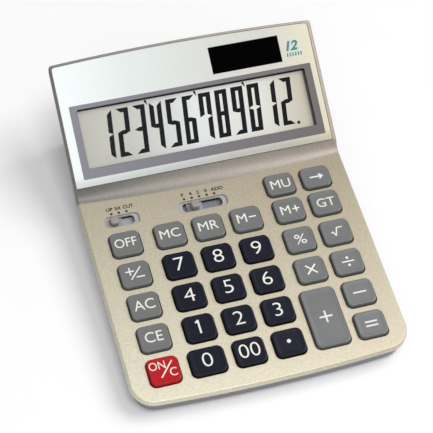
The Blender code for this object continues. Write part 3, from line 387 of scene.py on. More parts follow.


# Inner parts
# The board, key mat, display frame, switch bodies, leads, battery and contacts keep their solids' shapes.
# Each gets the finish of what it is made of, and the closed case hides all but the switch bodies, which also
# carry painted light and shade.
board_finish = Finish("board_green", (0.03, 0.14, 0.06), 0.45, coat_weight=0.4)
weave = board_finish.noise(0.5 * MM, 1)
board_finish.set("Base Color", board_finish.mix(weave, (0.024, 0.12, 0.05), (0.036, 0.16, 0.07)))
film_finish = Finish("amber_film", (0.35, 0.2, 0.06), 0.3, coat_weight=0.5)
bands = film_finish.noise(0.7 * MM, 1, (1, 0.05, 0.05))
film_finish.set("Base Color", film_finish.mix(bands > 0.52, (0.32, 0.17, 0.05), (0.45, 0.27, 0.12)))
mat_finish = moulded("mat_rubber", (0.03, 0.03, 0.032), 0.7)
frame_finish = moulded("frame_white", (0.70, 0.70, 0.68), 0.55)
sleeve_finish = moulded("battery_sleeve", (0.10, 0.10, 0.10), 0.3, metallic=0.4, depth=0.004 * MM)
red_finish = moulded("wire_red", (0.50, 0.02, 0.02), 0.4, depth=0.006 * MM)
black_finish = moulded("wire_black", (0.02, 0.02, 0.02), 0.4, depth=0.006 * MM)
# The two switch bodies share one blue grey plastic: the rounding switch's is painted lighter, painted light
# in its slot, and the decimal switch's darker, painted shade.
switch_light_finish = moulded("switch_painted_light", (0.37, 0.37, 0.40), 0.5)
switch_shade_finish = moulded("switch_painted_shade", (0.19, 0.205, 0.235), 0.5)
for node, finish in (("main_board", board_finish), ("lcd_ribbon", film_finish), ("solar_lead", film_finish),
                     ("key_mat", mat_finish), ("display_frame", frame_finish),
                     ("battery_cell", sleeve_finish), ("battery_wire_positive", red_finish),
                     ("battery_wire_negative", black_finish), ("battery_contact", plated),
                     ("battery_spring", plated), ("rounding_switch_body", switch_light_finish),
                     ("decimal_switch_body", switch_shade_finish)):
    nodes[node].material_slots[0].material = finish.material


# Top cover
# One moulding for the deck, the cove and the head, 2 mm thick, with a rounded rim and a short skirt.
# It is sprayed with a fine champagne metallic paint, and the openings have slightly softened edges.
# The deck slopes up to the rear from its front edge, and the head tilts up from the deck.
SLOPE, TILT = math.radians(4), math.radians(25.6)
DECK_FRONT, DECK_HEIGHT = -90.19232541322708 * MM, 12 * MM
HEAD_START, HEAD_RISE, HEAD_LENGTH = 123.5 * MM, 4.3 * MM, 65 * MM
deck = Matrix.Translation((0, DECK_FRONT, DECK_HEIGHT)) @ Matrix.Rotation(SLOPE, 4, "X")
head_on_deck = Matrix.Translation((0, HEAD_START, HEAD_RISE)) @ Matrix.Rotation(TILT, 4, "X")
head = deck @ head_on_deck
WIDTH, WALL, SKIRT = 141.45 * MM, 2 * MM, 3.2 * MM
RIM, RIM_DROP = 1.2 * MM, 0.2 * MM
CORNER, REAR_CORNER = 11 * MM, 1.5 * MM
COVE_START, COVE_BOW, FRONT_BOW, ARCH = 114.4 * MM, 2.9 * MM, 2.8 * MM, 2 * MM


def bow(x, rise):
    """How far a bowed edge lies behind its middle, at a place across the width."""
    return rise * (2 * x / WIDTH) ** 2


def round_back(x, half, radius):
    """How far a round corner takes an edge back, at a place across the width."""
    over = max(abs(x) - half + radius, 0)
    return radius - math.sqrt(max(radius ** 2 - over ** 2, 0))


def cover_point(across, along, drop, inset):
    """A place on the cover's surface or a drop below it, in the deck's frame.

    Across runs from -1 to 1, and its outer parts go round the front corners.
    Along is 0 at the front edge, 1 to 9 over the cove, and 10 at the rear edge.
    """
    straight = WIDTH / 2 - CORNER
    part = max(abs(across) - 0.5, 0) * 2
    x = straight * min(2 * abs(across), 1) + (CORNER - inset) * math.sin(math.pi / 2 * part)
    x = math.copysign(x, across)
    half = WIDTH / 2 - inset
    if along == 0:
        return Vector((x, inset + bow(x, FRONT_BOW) + round_back(x, half, CORNER - inset), -drop))
    if along == 10:
        y = HEAD_LENGTH + ARCH - bow(x, ARCH) - round_back(x, half, REAR_CORNER)
        y -= inset / math.cos(SLOPE + TILT) + drop * math.tan(SLOPE + TILT)
        return head_on_deck @ Vector((x, y, -RIM_DROP - drop))
    cove_end = head_on_deck @ Vector((0, 0, -RIM_DROP))
    share = (along - 1) / 8
    start = COVE_START + bow(x, COVE_BOW)
    return Vector((x, start + (cove_end.y - start) * share, cove_end.z * share ** 2 - drop))


def cover_block(levels):
    """A solid between levels of the cover, each a drop below the surface and an inset from its edges."""
    bm = bmesh.new()
    across = bm.verts.layers.float.new("across")
    along = bm.verts.layers.float.new("along")
    bmesh.ops.create_grid(bm, x_segments=56, y_segments=10, size=1)
    for place in bm.verts:
        place[across] = place.co.x
        place[along] = round((place.co.y + 1) * 5)
    region = list(bm.faces)
    for level, (drop, inset) in enumerate(levels):
        if level:
            region, _ = draw_out(bm, region, level == 1)
        for place in {corner for face in region for corner in face.verts}:
            place.co = cover_point(place[across], place[along], drop, inset)
    bmesh.ops.recalc_face_normals(bm, faces=bm.faces)
    return bm


turns = [math.pi / 2 * step / 6 for step in range(7)]
rim = [(RIM - RIM * math.sin(turn), RIM - RIM * math.cos(turn)) for turn in turns]
cover = mesh_of(cover_block([(SKIRT, 0)] + rim), "cover")
cover = carve(cover, cover_block([(3 * WALL, WALL), (WALL, WALL)]))


def opening(bm, width, depth, low, x, y, radius, flare):
    """Adds a cutter for an opening in the deck with a rounded rim."""
    top = slab(bm, width, depth, low, 0.01 * MM - flare, x, y, radius, 10)
    wide, deep = width, depth
    for step in range(1, 5):
        angle = math.pi / 2 * step / 4
        out = 2 * flare * (1 - math.cos(angle))
        top, places = draw_out(bm, top)
        bmesh.ops.scale(bm, vec=((width + out) / wide, (depth + out) / deep, 1), verts=places,
                        space=Matrix.Translation((-x, -y, 0)))
        rise = flare * (math.sin(angle) - math.sin(angle - math.pi / 8))
        bmesh.ops.translate(bm, vec=(0, 0, rise), verts=places)
        wide, deep = width + out, depth + out
    top, places = draw_out(bm, top)
    bmesh.ops.translate(bm, vec=(0, 0, 2 * MM), verts=places)


# Columns from left to right and rows from front to rear, with the middles of their keys.
COLUMNS = {"a": -52.725 * MM, "b": -29.775 * MM, "c": -9.625 * MM, "d": 10.525 * MM, "e": 33.475 * MM,
           "f": 53.075 * MM}
ROWS = {"zero": 17.0 * MM, "one": 34.95 * MM, "four": 52.9 * MM, "seven": 70.85 * MM, "memory": 88.8 * MM,
        "top": 104.7 * MM}
ROW_PITCH = 17.95 * MM
KEY_WIDTH, KEY_DEPTH, KEY_GAPS, KEY_HOLE_CORNER = 15.4 * MM, 14.2 * MM, 0.85 * MM, 3.4 * MM
SHALLOW_ROWS = {"top": 12.7 * MM, "memory": 13.9 * MM}
KEYS = {
    "key_off": ("a", "memory"), "key_sign": ("a", "seven"), "key_ac": ("a", "four"), "key_ce": ("a", "one"),
    "key_on_clear": ("a", "zero"), "key_mc": ("b", "memory"), "key_7": ("b", "seven"), "key_4": ("b", "four"),
    "key_1": ("b", "one"), "key_0": ("b", "zero"), "key_mr": ("c", "memory"), "key_8": ("c", "seven"),
    "key_5": ("c", "four"), "key_2": ("c", "one"), "key_00": ("c", "zero"), "key_m_minus": ("d", "memory"),
    "key_9": ("d", "seven"), "key_6": ("d", "four"), "key_3": ("d", "one"), "key_point": ("d", "zero"),
    "key_mu": ("e", "top"), "key_m_plus": ("e", "memory"), "key_percent": ("e", "seven"),
    "key_multiply": ("e", "four"), "key_plus": ("e", "zero"), "key_arrow": ("f", "top"),
    "key_gt": ("f", "memory"), "key_root": ("f", "seven"), "key_divide": ("f", "four"),
    "key_minus": ("f", "one"), "key_equals": ("f", "zero"),
}


def key_place(name):
    """The middle and the size of a key's outline on the deck."""
    column, row = KEYS[name]
    x, y = COLUMNS[column], ROWS[row]
    width, depth = KEY_WIDTH, SHALLOW_ROWS.get(row, KEY_DEPTH)
    if name == "key_0":
        return x - 1.1 * MM, y, width + 2.2 * MM, depth
    if name == "key_plus":
        return x - 1.3 * MM, y + ROW_PITCH / 2, width + 2.6 * MM, depth + ROW_PITCH
    return x, y, width, depth


THROUGH = (-4 * MM, 2 * MM)
key_holes = bmesh.new()
for name in KEYS:
    x, y, width, depth = key_place(name)
    opening(key_holes, width + KEY_GAPS, depth + KEY_GAPS, THROUGH[0], x, y, KEY_HOLE_CORNER, 0.3 * MM)
cover = carve(cover, key_holes)

# Each switch has its middle across, its pitch, its number of steps and the step that it rests on.
# Its slot lies in the floor of a shallow pocket, which reaches a little past the slot all round.
SWITCHES = {"rounding": (-50.925 * MM, 3.95 * MM, 2, 0), "decimal": (-8.425 * MM, 4 * MM, 4, 1)}
SWITCH_Y, SLOT_DEPTH, SLOT_CORNER = 103.3 * MM, 5.1 * MM, 1.9 * MM
POCKET_DEPTH, POCKET_FLOOR, POCKET_CORNER, POCKET_ENDS = 6.4 * MM, -1 * MM, 2.4 * MM, 5 * MM
POCKET_REACH = Vector((5.6 * MM, 3.65 * MM))
pockets, slots = bmesh.new(), bmesh.new()
for x, pitch, steps, _ in SWITCHES.values():
    length = pitch * steps + SLOT_DEPTH
    opening(pockets, length + POCKET_ENDS, POCKET_DEPTH, POCKET_FLOOR, x, SWITCH_Y, POCKET_CORNER, 0.4 * MM)
    slab(slots, length, SLOT_DEPTH, *THROUGH, x, SWITCH_Y, SLOT_CORNER)
cover = carve(cover, pockets)
cover = carve(cover, slots)


PLATE_WIDTH, PLATE_LENGTH, PLATE_MIDDLE = 137.85 * MM, 63 * MM, -0.5 * MM


def plate_block(margin, low, high):
    """The display plate's outline with its arched rear edge, between two heights on the head."""
    bm = bmesh.new()
    width, halfway = PLATE_WIDTH + 2 * margin, PLATE_LENGTH / 2
    rectangle(bm, width, PLATE_LENGTH + 2 * margin, low, PLATE_MIDDLE, halfway)
    rear = [edge for edge in bm.edges if min(place.co.y for place in edge.verts) > halfway]
    bmesh.ops.subdivide_edges(bm, edges=rear, cuts=32)
    ends = [place for place in bm.verts if place.co.y > halfway
            and abs(place.co.x - PLATE_MIDDLE) > width / 2 - 0.01 * MM]
    rounded(bm, ends, REAR_CORNER + margin, 8, "VERTICES")
    for place in bm.verts:
        if place.co.y > halfway:
            place.co.y += ARCH - bow(place.co.x, ARCH)
    _, places = draw_out(bm, list(bm.faces), True)
    bmesh.ops.translate(bm, vec=(0, 0, high - low), verts=places)
    return bm


seat = plate_block(0.3 * MM, -1 * MM, 4 * MM)
bmesh.ops.transform(seat, matrix=head_on_deck, verts=seat.verts)
cover = carve(cover, seat)

# Each opening in the head has its middle, across and up the head, and its width and height.
WINDOW = (0.275 * MM, 24.3 * MM, 122.7 * MM, 30.6 * MM)
SOLAR = (31.925 * MM, 52.2 * MM, 38.1 * MM, 14.2 * MM)
windows = bmesh.new()
for (x, y, width, height), margin in ((WINDOW, 1.1 * MM), (SOLAR, 1 * MM)):
    slab(windows, width + 2 * margin, height + 2 * margin, -6 * MM, 4 * MM, x, y)
bmesh.ops.transform(windows, matrix=head_on_deck, verts=windows.verts)
cover = carve(cover, windows)

# The walls and floors of the pockets, below their rims, get a darker grey, painted shade in the pockets'
# hollows.
cover_bm = bmesh.new()
cover_bm.from_mesh(cover)
bmesh.ops.remove_doubles(cover_bm, verts=cover_bm.verts, dist=MERGE)
for face in cover_bm.faces:
    face.material_index = 0
    middle = face.calc_center_median()
    if -2.1 * MM < middle.z < -0.2 * MM and abs(middle.y - SWITCH_Y) < POCKET_REACH.y:
        for x, pitch, steps, _ in SWITCHES.values():
            if abs(middle.x - x) < pitch * steps / 2 + POCKET_REACH.x:
                face.material_index = 1
bmesh.ops.transform(cover_bm, matrix=deck, verts=cover_bm.verts)
cover_bm.to_mesh(cover)
cover_bm.free()
cover = weighted(cover, 32)

champagne = Finish("champagne_paint", (0.55, 0.50, 0.40), 0.42, metallic=0.4, coat_weight=0.1,
                   coat_roughness=0.35)
flakes = champagne.noise(0.45 * MM, 2)
sand = champagne.noise(1.1 * MM, 3)
drift = champagne.noise(14 * MM, 2)
across, along = champagne.along("X"), champagne.along("Y")
# Painted light: the paint is darker towards the rear and lighter towards the front, and lighter at the left
# and darker and warmer at the right, for the lamps' light on the metallic paint.
to_front = champagne.share(along, 22 * MM, -90 * MM)
to_right = champagne.share(across, -65 * MM, 65 * MM)
# Painted shade: behind a bowed line at the deck's rear, over the cove and the head's rim, the paint is much
# darker, and lighter towards the right.
in_cove = champagne.share(along - across * across * 0.58, 23.4 * MM, 24.6 * MM)
deck_painted_light = champagne.times(champagne.mix(to_front, (0.45, 0.40, 0.31), (0.72, 0.665, 0.54)),
                           champagne.mix(to_right, (1.15, 1.18, 1.15), (0.93, 0.90, 0.85)))
cove_painted_shade = champagne.mix(to_right, (0.22, 0.21, 0.193), (0.44, 0.385, 0.335))
speckle = (flakes * 0.5 + sand * 0.5 - 0.35) / 0.3
mottled = champagne.mix(speckle, (0.85, 0.84, 0.83), (1.07, 1.07, 1.07))
champagne.set("Base Color", champagne.times(champagne.mix(in_cove, deck_painted_light, cove_painted_shade), mottled))
champagne.set("Roughness", 0.38 + 0.14 * flakes + 0.05 * drift)
champagne.bump(speckle, 0.012 * MM)

# The pockets' grey is painted shade, darker than the paint around them.
pocket_painted_shade = moulded("pocket_painted_shade", (0.43, 0.41, 0.41), 0.4, grain=0.2 * MM)
finished("cover", cover, [champagne, pocket_painted_shade], "case", "cover_champagne", "top_cover")


# Switch sliders
# Blunt champagne grey knobs, each moulded on a flat carrier that slides under the cover.
# The knob is a post with round corners, and its crown is softened all round.
knob_finish = moulded("slider_champagne", (0.33, 0.295, 0.27), 0.4, grain=0.18 * MM, depth=0.006 * MM)
carrier_finish = moulded("slider_grey", (0.33, 0.32, 0.33), 0.45, grain=0.18 * MM, depth=0.006 * MM)


def step_in(bm, top, inset, height):
    """Draws a top face in from its outline and lifts it."""
    bmesh.ops.inset_region(bm, faces=top, thickness=inset, use_even_offset=True)
    bmesh.ops.translate(bm, vec=(0, 0, height), verts=top[0].verts)


for name, (x, pitch, steps, rest) in SWITCHES.items():
    knob = bmesh.new()
    crown = slab(knob, 4.5 * MM, 4.4 * MM, -2.7 * MM, 1.45 * MM, radius=1.5 * MM)
    for inset, rise in ((0.05, 0.2), (0.12, 0.2), (0.25, 0.15), (0.4, 0.05)):
        step_in(knob, crown, inset * MM, rise * MM)
    post = set(knob.faces)
    slab(knob, 8.4 * MM, 7.2 * MM, -3.1 * MM, -2.3 * MM, radius=0.6 * MM, steps=4)
    for face in knob.faces:
        face.material_index = 0 if face in post else 1
    at = Matrix.Translation((x + (rest - steps / 2) * pitch, SWITCH_Y, 0))
    bmesh.ops.transform(knob, matrix=deck @ at, verts=knob.verts)
    finished(name + "_knob", smoothed(knob, name + "_knob"), [knob_finish, carrier_finish], name + "_slider",
             "slider_champagne", name + "_slider")


# Switch markings
# A row of printed dots, one for each place of a switch, with small plain marks behind them.
# The ink lies on the paint, a few hundredths of a millimetre high.
ink = Finish("dark_ink", (0.012, 0.010, 0.010), 0.5)
wear = ink.noise(0.3 * MM, 2)
ink.set("Base Color", ink.mix(wear, (0.008, 0.006, 0.006), (0.022, 0.018, 0.018)))


def lettering(bm, words, height, x, y, low, high, bold=0, stretch=1, lean=0):
    """Adds words as solid letters of a height, centred on a place, between two levels.

    Bold thickens the strokes, stretch widens the words, and lean slants them to the right.
    """
    curve = bpy.data.curves.new("letters", "FONT")
    curve.body = words
    curve.resolution_u = 6
    curve.extrude = 0.05
    curve.offset = bold
    curve.shear = lean
    mesh = settled(placed("letters", curve))
    known = set(bm.verts)
    bm.from_mesh(mesh)
    bpy.data.meshes.remove(mesh)
    letters = [place for place in bm.verts if place not in known]
    sides = [[place.co[axis] for place in letters] for axis in range(3)]
    middle = Vector([(min(side) + max(side)) / 2 for side in sides])
    size = height / (max(sides[1]) - min(sides[1]))
    bmesh.ops.translate(bm, vec=-middle, verts=letters)
    bmesh.ops.scale(bm, vec=(size * stretch, size, (high - low) / (2 * curve.extrude)), verts=letters)
    bmesh.ops.translate(bm, vec=(x, y, (low + high) / 2), verts=letters)
    bmesh.ops.remove_doubles(bm, verts=letters, dist=0.001 * MM)


def dot(bm, x, y, radius, low, high):
    """Adds a round dot between two levels."""
    slab(bm, 2 * radius, 2 * radius, low, high, x, y, radius * 0.999)


INK_FILM = (0.002 * MM, 0.03 * MM)
marks = bmesh.new()
for y, row in ((107.8, (-55.4, -51.45, -47.5)), (107.9, (-17, -13, -9, -5, -1))):
    for x in row:
        dot(marks, x * MM, y * MM, 0.7 * MM, *INK_FILM)
for words, x, stretch in (("UP", -55.8, 1.05), ("5/4", -51.5, 0.9), ("CUT", -46, 1.0), ("F", -17.3, 1.05),
                          ("4", -13.1, 1.05), ("2", -9.1, 1.05), ("0", -4.9, 1.05), ("ADD", 1.1, 1.1)):
    lettering(marks, words, 2.05 * MM, x * MM, 110.5 * MM, *INK_FILM, 0.03, stretch)
bmesh.ops.transform(marks, matrix=deck, verts=marks.verts)
finished("switch_markings", smoothed(marks, "switch_markings"), ink, "case", None)


# Keys
# Moulded caps with tapered walls, round shoulders and a shallow dish, each on a flange under the cover.
# The grey, navy and red plastics have a satin face, and their cream legends are moulded through it.
KEY_COLOURS = {
    "grey": moulded("key_grey", (0.172, 0.178, 0.178), 0.26, grain=0.2 * MM, depth=0.006 * MM,
                    specular_ior_level=0.5),
    "navy": moulded("key_navy", (0.009, 0.0105, 0.021), 0.24, grain=0.2 * MM, depth=0.006 * MM,
                    specular_ior_level=0.2),
    "red": moulded("key_red", (0.47, 0.006, 0.010), 0.28, grain=0.2 * MM, depth=0.006 * MM,
                   specular_ior_level=0.3),
}
cream = moulded("legend_cream", (0.86, 0.85, 0.78), 0.4, grain=0.2 * MM, depth=0.004 * MM)
KEY_PROUD, NECK, SHOULDER = 1.9 * MM, 2.3 * MM, 0.42 * MM
FLANGE_LOW, FLANGE_THICK, FLANGE_WIDE, FLANGE_CORNER = -3.1 * MM, 0.8 * MM, 1 * MM, 4 * MM


def key_shell(width, depth):
    """A key cap round its own middle: flange, tapered walls, round shoulder and dished face."""
    bm = bmesh.new()
    corners = rectangle(bm, width + 2 * FLANGE_WIDE, depth + 2 * FLANGE_WIDE, FLANGE_LOW)
    rounded(bm, corners, FLANGE_CORNER, 10, "VERTICES")
    top, places = draw_out(bm, list(bm.faces), True)
    bmesh.ops.translate(bm, vec=(0, 0, FLANGE_THICK), verts=places)
    step_in(bm, top, FLANGE_WIDE, 0)
    step_in(bm, top, 0.1 * MM, NECK)
    step_in(bm, top, 0.15 * MM, KEY_PROUD - SHOULDER)
    for part in range(5):
        first, second = [math.pi / 2 * (part + more) / 5 for more in (0, 1)]
        step_in(bm, top, SHOULDER * (math.cos(first) - math.cos(second)),
                SHOULDER * (math.sin(second) - math.sin(first)))
    for inset, drop in ((0.6, 0.015), (0.7, 0.04), (0.6, 0.02)):
        step_in(bm, top, inset * MM, -drop * MM)
    return bm


def stroke(bm, start, end, thickness, low, high):
    """Adds a straight stroke between two places."""
    start, end = Vector(start), Vector(end)
    known = set(bm.verts)
    slab(bm, (end - start).length, thickness, low, high)
    bar = [place for place in bm.verts if place not in known]
    turn = Matrix.Rotation(math.atan2(end.y - start.y, end.x - start.x), 4, "Z")
    middle = (start + end) / 2
    bmesh.ops.transform(bm, matrix=Matrix.Translation((middle.x, middle.y, 0)) @ turn, verts=bar)


# Legends in millimetres from the legend's middle. Words have their height, place, boldness and stretch,
# strokes their two ends and thickness, and dots their place and radius.
WORDS = {
    "percent": [("%", 5.6, 0, 0, 0, 1.2)], "m_plus": [("M", 5, -2.35, 0, 0, 1.07)],
    "m_minus": [("M", 5, -2.35, 0, 0, 1.07)], "off": [("OFF", 5, 0, 0, 0, 0.93)],
    "ac": [("AC", 5.5, 0, 0, 0, 1)], "ce": [("CE", 5.5, 0, 0, 0, 1)],
    "on_clear": [("ON", 4.2, -2.7, 2.5, 0, 0.9), ("C", 4.3, 4.4, -2.1, 0, 0.95)],
}
for word in ("mc", "mr", "mu", "gt"):
    WORDS[word] = [(word.upper(), 5, 0, 0, 0, 1.07)]
for digit in ("1", "2", "3", "4", "5", "6", "7", "8", "9", "0", "00"):
    WORDS[digit] = [(digit, 7.3, 0, 0, -0.01, 1.07 if digit == "00" else 1.15)]
STROKES = {
    "1": [(-1.5, 2.2, 0.1, 3.5, 0.8)],
    "plus": [(-3.35, 0, 3.35, 0, 0.86), (0, -3.2, 0, 3.2, 0.86)],
    "minus": [(-3.45, 0, 3.45, 0, 0.86)],
    "equals": [(-3.2, 1.05, 3.2, 1.05, 0.86), (-3.2, -1.15, 3.2, -1.15, 0.86)],
    "multiply": [(-2.6, -2.5, 2.6, 2.5, 0.86), (-2.6, 2.5, 2.6, -2.5, 0.86)],
    "divide": [(-3.3, 0, 3.3, 0, 0.72)],
    "root": [(-3.1, -0.6, -2.2, 0.1, 0.6), (-2.3, 0.2, -0.9, -2.4, 0.75), (-1.0, -2.5, 0.5, 2.4, 0.65),
             (0.3, 2.15, 3.3, 2.15, 0.65)],
    "arrow": [(-3.5, 0, 2.8, 0, 0.85), (1.4, 1.4, 3.5, -0.1, 0.8), (1.4, -1.4, 3.5, 0.1, 0.8)],
    "sign": [(-4.45, 1.3, -0.15, 1.3, 0.7), (-2.3, -0.9, -2.3, 3.5, 0.7), (-2.4, -3.2, 3.5, 3.2, 0.65),
             (0.35, -2.35, 4.65, -2.35, 0.7)],
    "on_clear": [(-1.9, -4.0, 5.0, 3.9, 0.68)],
    "m_plus": [(1.4, 0, 5.2, 0, 0.72), (3.3, -1.9, 3.3, 1.9, 0.72)],
    "m_minus": [(1.4, 0, 5.2, 0, 0.72)],
}
DOTS = {"point": [(0, 0, 1.02)], "divide": [(0, 2.15, 0.72), (0, -2.15, 0.72)]}


def legend(name, low, high):
    """A cutter for a key's legend, a little off the key's middle, between two levels."""
    bm = bmesh.new()
    right, up = (0.25, -0.1) if KEYS[name][0] in "ef" else (-0.1, 0.4)
    key = name.removeprefix("key_")
    for words, height, x, y, bold, stretch in WORDS.get(key, ()):
        lettering(bm, words, height * MM, (x + right) * MM, (y + up) * MM, low, high, bold, stretch)
    for x0, y0, x1, y1, thickness in STROKES.get(key, ()):
        stroke(bm, ((x0 + right) * MM, (y0 + up) * MM), ((x1 + right) * MM, (y1 + up) * MM), thickness * MM,
               low, high)
    for x, y, radius in DOTS.get(key, ()):
        dot(bm, (x + right) * MM, (y + up) * MM, radius * MM, low, high)
    return bm


LEGEND_STAND = 0.025 * MM
for name in KEYS:
    x, y, width, depth = key_place(name)
    navy = name.removeprefix("key_").isdigit() or name == "key_point"
    colour = "red" if name == "key_on_clear" else "navy" if navy else "grey"
    place = deck @ Matrix.Translation((x, y, 0))
    shell = key_shell(width, depth)
    bmesh.ops.recalc_face_normals(shell, faces=shell.faces)
    face = bpy.data.meshes.new("face")
    shell.to_mesh(face)
    face.transform(Matrix.Translation((0, 0, LEGEND_STAND)))
    bmesh.ops.transform(shell, matrix=place, verts=shell.verts)
    finished(name + "_cap", weighted(smoothed(shell, name + "_cap"), 30), KEY_COLOURS[colour], name,
             "key_" + colour, name)
    words = carve(face, legend(name, KEY_PROUD - 0.8 * MM, 4 * MM), "INTERSECT", True)
    words.transform(place)
    finished(name + "_legend", words, cream, name, None)


# Display glass
# The liquid crystal cell: pale grey green, darker and warmer towards its ends and near white across its
# middle.
# The dark segments lie on its face, and a dark band along the window's rear and right edges is painted shade
# from the opening's walls.
GLASS_DEPTH = 2.5 * MM
lcd = Finish("display_glass", (0.56, 0.56, 0.50), 0.3, specular_ior_level=0.3)
across = lcd.along("X")
tint = lcd.node("ShaderNodeValToRGB", {"stops": [(0.0, (0.57, 0.56, 0.475)), (1.0, (0.72, 0.655, 0.53)),
                                                 (0.2, (0.68, 0.69, 0.63)), (0.5, (0.98, 1.0, 1.0)),
                                                 (0.8, (0.96, 0.955, 0.87))]},
                {0: lcd.share(across, -61 * MM, 61 * MM)})
cell_ground = lcd.mix(lcd.noise(0.35 * MM, 1) * 0.1, tint, (0.5, 0.5, 0.45))
# Painted shade: the glass is dark along the window's rear and right edges, where the opening's walls shade
# it.
SHADE_FADE = 0.2 * MM
shade_rear = (head @ Vector((0, WINDOW[1] + WINDOW[3] / 2 - 0.7 * MM, -GLASS_DEPTH))).y
shade_right = WINDOW[0] + WINDOW[2] / 2 - 0.9 * MM
beside = lcd.share(across, shade_right, shade_right + SHADE_FADE)
behind = lcd.share(lcd.along("Y"), shade_rear, shade_rear + SHADE_FADE)
lcd.set("Base Color", lcd.mix(behind, lcd.mix(beside, cell_ground, (0.19, 0.155, 0.14)), (0.02, 0.016, 0.014)))
nodes["lcd_glass"].material_slots[0].material = lcd.material

segment_ink = Finish("segments_dark", (0.003, 0.004, 0.008), 0.4, specular_ior_level=0.1)
cloud = segment_ink.noise(1 * MM, 1)
segment_ink.set("Base Color", segment_ink.mix(cloud, (0.002, 0.003, 0.006), (0.004, 0.005, 0.010)))
CELL, CELL_PITCH = Vector((6.5 * MM, 25 * MM)), 8.82 * MM
FIRST_RIGHT, CELL_TOP = -43.4 * MM, 37 * MM
UPRIGHT, LEVEL_BAR, BAR_GAP = 2.5 * MM, 2.2 * MM, 0.2 * MM
LEAN = math.radians(5.4)
INK_LOW, INK_HIGH = [level - GLASS_DEPTH for level in INK_FILM]
DIGITS = {"1": "bc", "2": "abged", "3": "abgcd", "4": "fgbc", "5": "afgcd", "6": "afgecd", "7": "fabc",
          "8": "abcdefg", "9": "abcdfg", "0": "abcdef"}
# Corners of the bars: places across and up a cell in cell sizes, and then steps in bar thicknesses.
UPPER = ((0, 1, 0, 0), (0, 0.5, 0, 0), (0, 0.5, 1, 0.5), (0, 1, 1, -1))
BARS = {
    "a": ((0, 1, 0, 0), (0, 1, 1, -1), (1, 1, -1, -1), (1, 1, 0, 0)),
    "g": ((0, 0.5, 0, 0), (0, 0.5, 1, -0.5), (1, 0.5, -1, -0.5), (1, 0.5, 0, 0), (1, 0.5, -1, 0.5),
          (0, 0.5, 1, 0.5)),
    "f": UPPER,
    "b": [(1 - x, y, -out, up) for x, y, out, up in UPPER],
    "e": [(x, 1 - y, out, -up) for x, y, out, up in UPPER],
    "c": [(1 - x, 1 - y, -out, -up) for x, y, out, up in UPPER],
}
BARS["d"] = [(x, 0, out, -up) for x, _, out, up in BARS["a"]]


def printed(bm, corners, gap=0):
    """Adds a flat printed shape between its corners, drawn in by a gap, just over the glass."""
    face = bm.faces.new([bm.verts.new((*corner, INK_LOW)) for corner in corners])
    if gap:
        rim = bmesh.ops.inset_region(bm, faces=[face], thickness=gap, use_even_offset=True)["faces"]
        bmesh.ops.delete(bm, geom=rim, context="FACES")
        bmesh.ops.delete(bm, geom=[place for place in bm.verts if not place.link_faces], context="VERTS")
    _, places = draw_out(bm, [face], True)
    bmesh.ops.translate(bm, vec=(0, 0, INK_HIGH - INK_LOW), verts=places)


THOUSANDS = ((-0.1, 1.2), (0.1, 1.8), (0.8, 1.9), (1.2, 1.3), (1.5, -1.2), (0.9, -0.2))
segments = bmesh.new()
for index, digit in enumerate("123456789012"):
    right = FIRST_RIGHT + CELL_PITCH * index
    corner = Vector((right, CELL_TOP)) - CELL
    for bar in DIGITS[digit]:
        printed(segments, [corner + Vector((x * CELL.x + out * UPRIGHT, y * CELL.y + up * LEVEL_BAR))
                           for x, y, out, up in BARS[bar]], BAR_GAP)
    if index in (2, 5, 8):
        printed(segments, [(right + x * MM, CELL_TOP + y * MM) for x, y in THOUSANDS])
dot(segments, 55.4 * MM, 12.3 * MM, 0.85 * MM, INK_LOW, INK_HIGH)
for place in segments.verts:
    place.co.x += (place.co.y - CELL_TOP) * math.tan(LEAN)
bmesh.ops.transform(segments, matrix=head, verts=segments.verts)
finished("display_segments", smoothed(segments, "display_segments"), segment_ink, "case", None)


# Solar cell
# A strip of amorphous silicon under a clear face, set in its own opening of the plate.
# It is near black, with fine lines between its four cells.
solar = Finish("solar_black", (0.001, 0.001, 0.001), 0.2, specular_ior_level=0.01)
solar_left, solar_cell = SOLAR[0] - SOLAR[2] / 2, SOLAR[2] / 4
cells = solar.node("ShaderNodeMath", {"operation": "FRACT"},
                   {0: (solar.along("X") - solar_left) / solar_cell})
line = abs(cells - 0.5) > 0.485
silicon = solar.mix(solar.noise(6 * MM, 2), (0.0004, 0.0004, 0.0006), (0.001, 0.001, 0.0012))
solar.set("Base Color", solar.mix(line, silicon, (0.003, 0.0025, 0.0025)))
nodes["solar_cell"].material_slots[0].material = solar.material


# Display window
# A clear acrylic pane with a polished face, let into the cover under the plate.
# It protects the display glass, and a little dust dulls it here and there.
pane = Finish("window_clear", (0.02, 0.02, 0.02), 0.03, alpha=0.05)
pane.set("Roughness", 0.02 + 0.05 * pane.noise(0.5 * MM, 3))
nodes["display_window"].material_slots[0].material = pane.material


# Display plate
# A sheet of brushed silver metal with an arched rear edge, pressed into the head's seat.
# Its openings frame the display and the solar cell, and its upper edges are lightly broken.
EDGE_BREAK = 0.15 * MM
plate_bm = plate_block(0, -0.7 * MM, 0)
bmesh.ops.recalc_face_normals(plate_bm, faces=plate_bm.faces)
plate = mesh_of(plate_bm, "plate")
plate_holes = bmesh.new()
for (x, y, width, height), radius in ((WINDOW, 0.8 * MM), (SOLAR, 0)):
    slab(plate_holes, width, height, -2 * MM, 2 * MM, x, y, radius)
plate = carve(plate, plate_holes)
plate_bm = bmesh.new()
plate_bm.from_mesh(plate)
bpy.data.meshes.remove(plate)
bmesh.ops.remove_doubles(plate_bm, verts=plate_bm.verts, dist=MERGE)
upper_edges = [edge for edge in edges_sharper(plate_bm, 60) if edge.verts[0].co.z > -0.1 * MM
               and sorted(abs(face.normal.z) for face in edge.link_faces)[1] > 0.9]
rounded(plate_bm, upper_edges, EDGE_BREAK, 3)
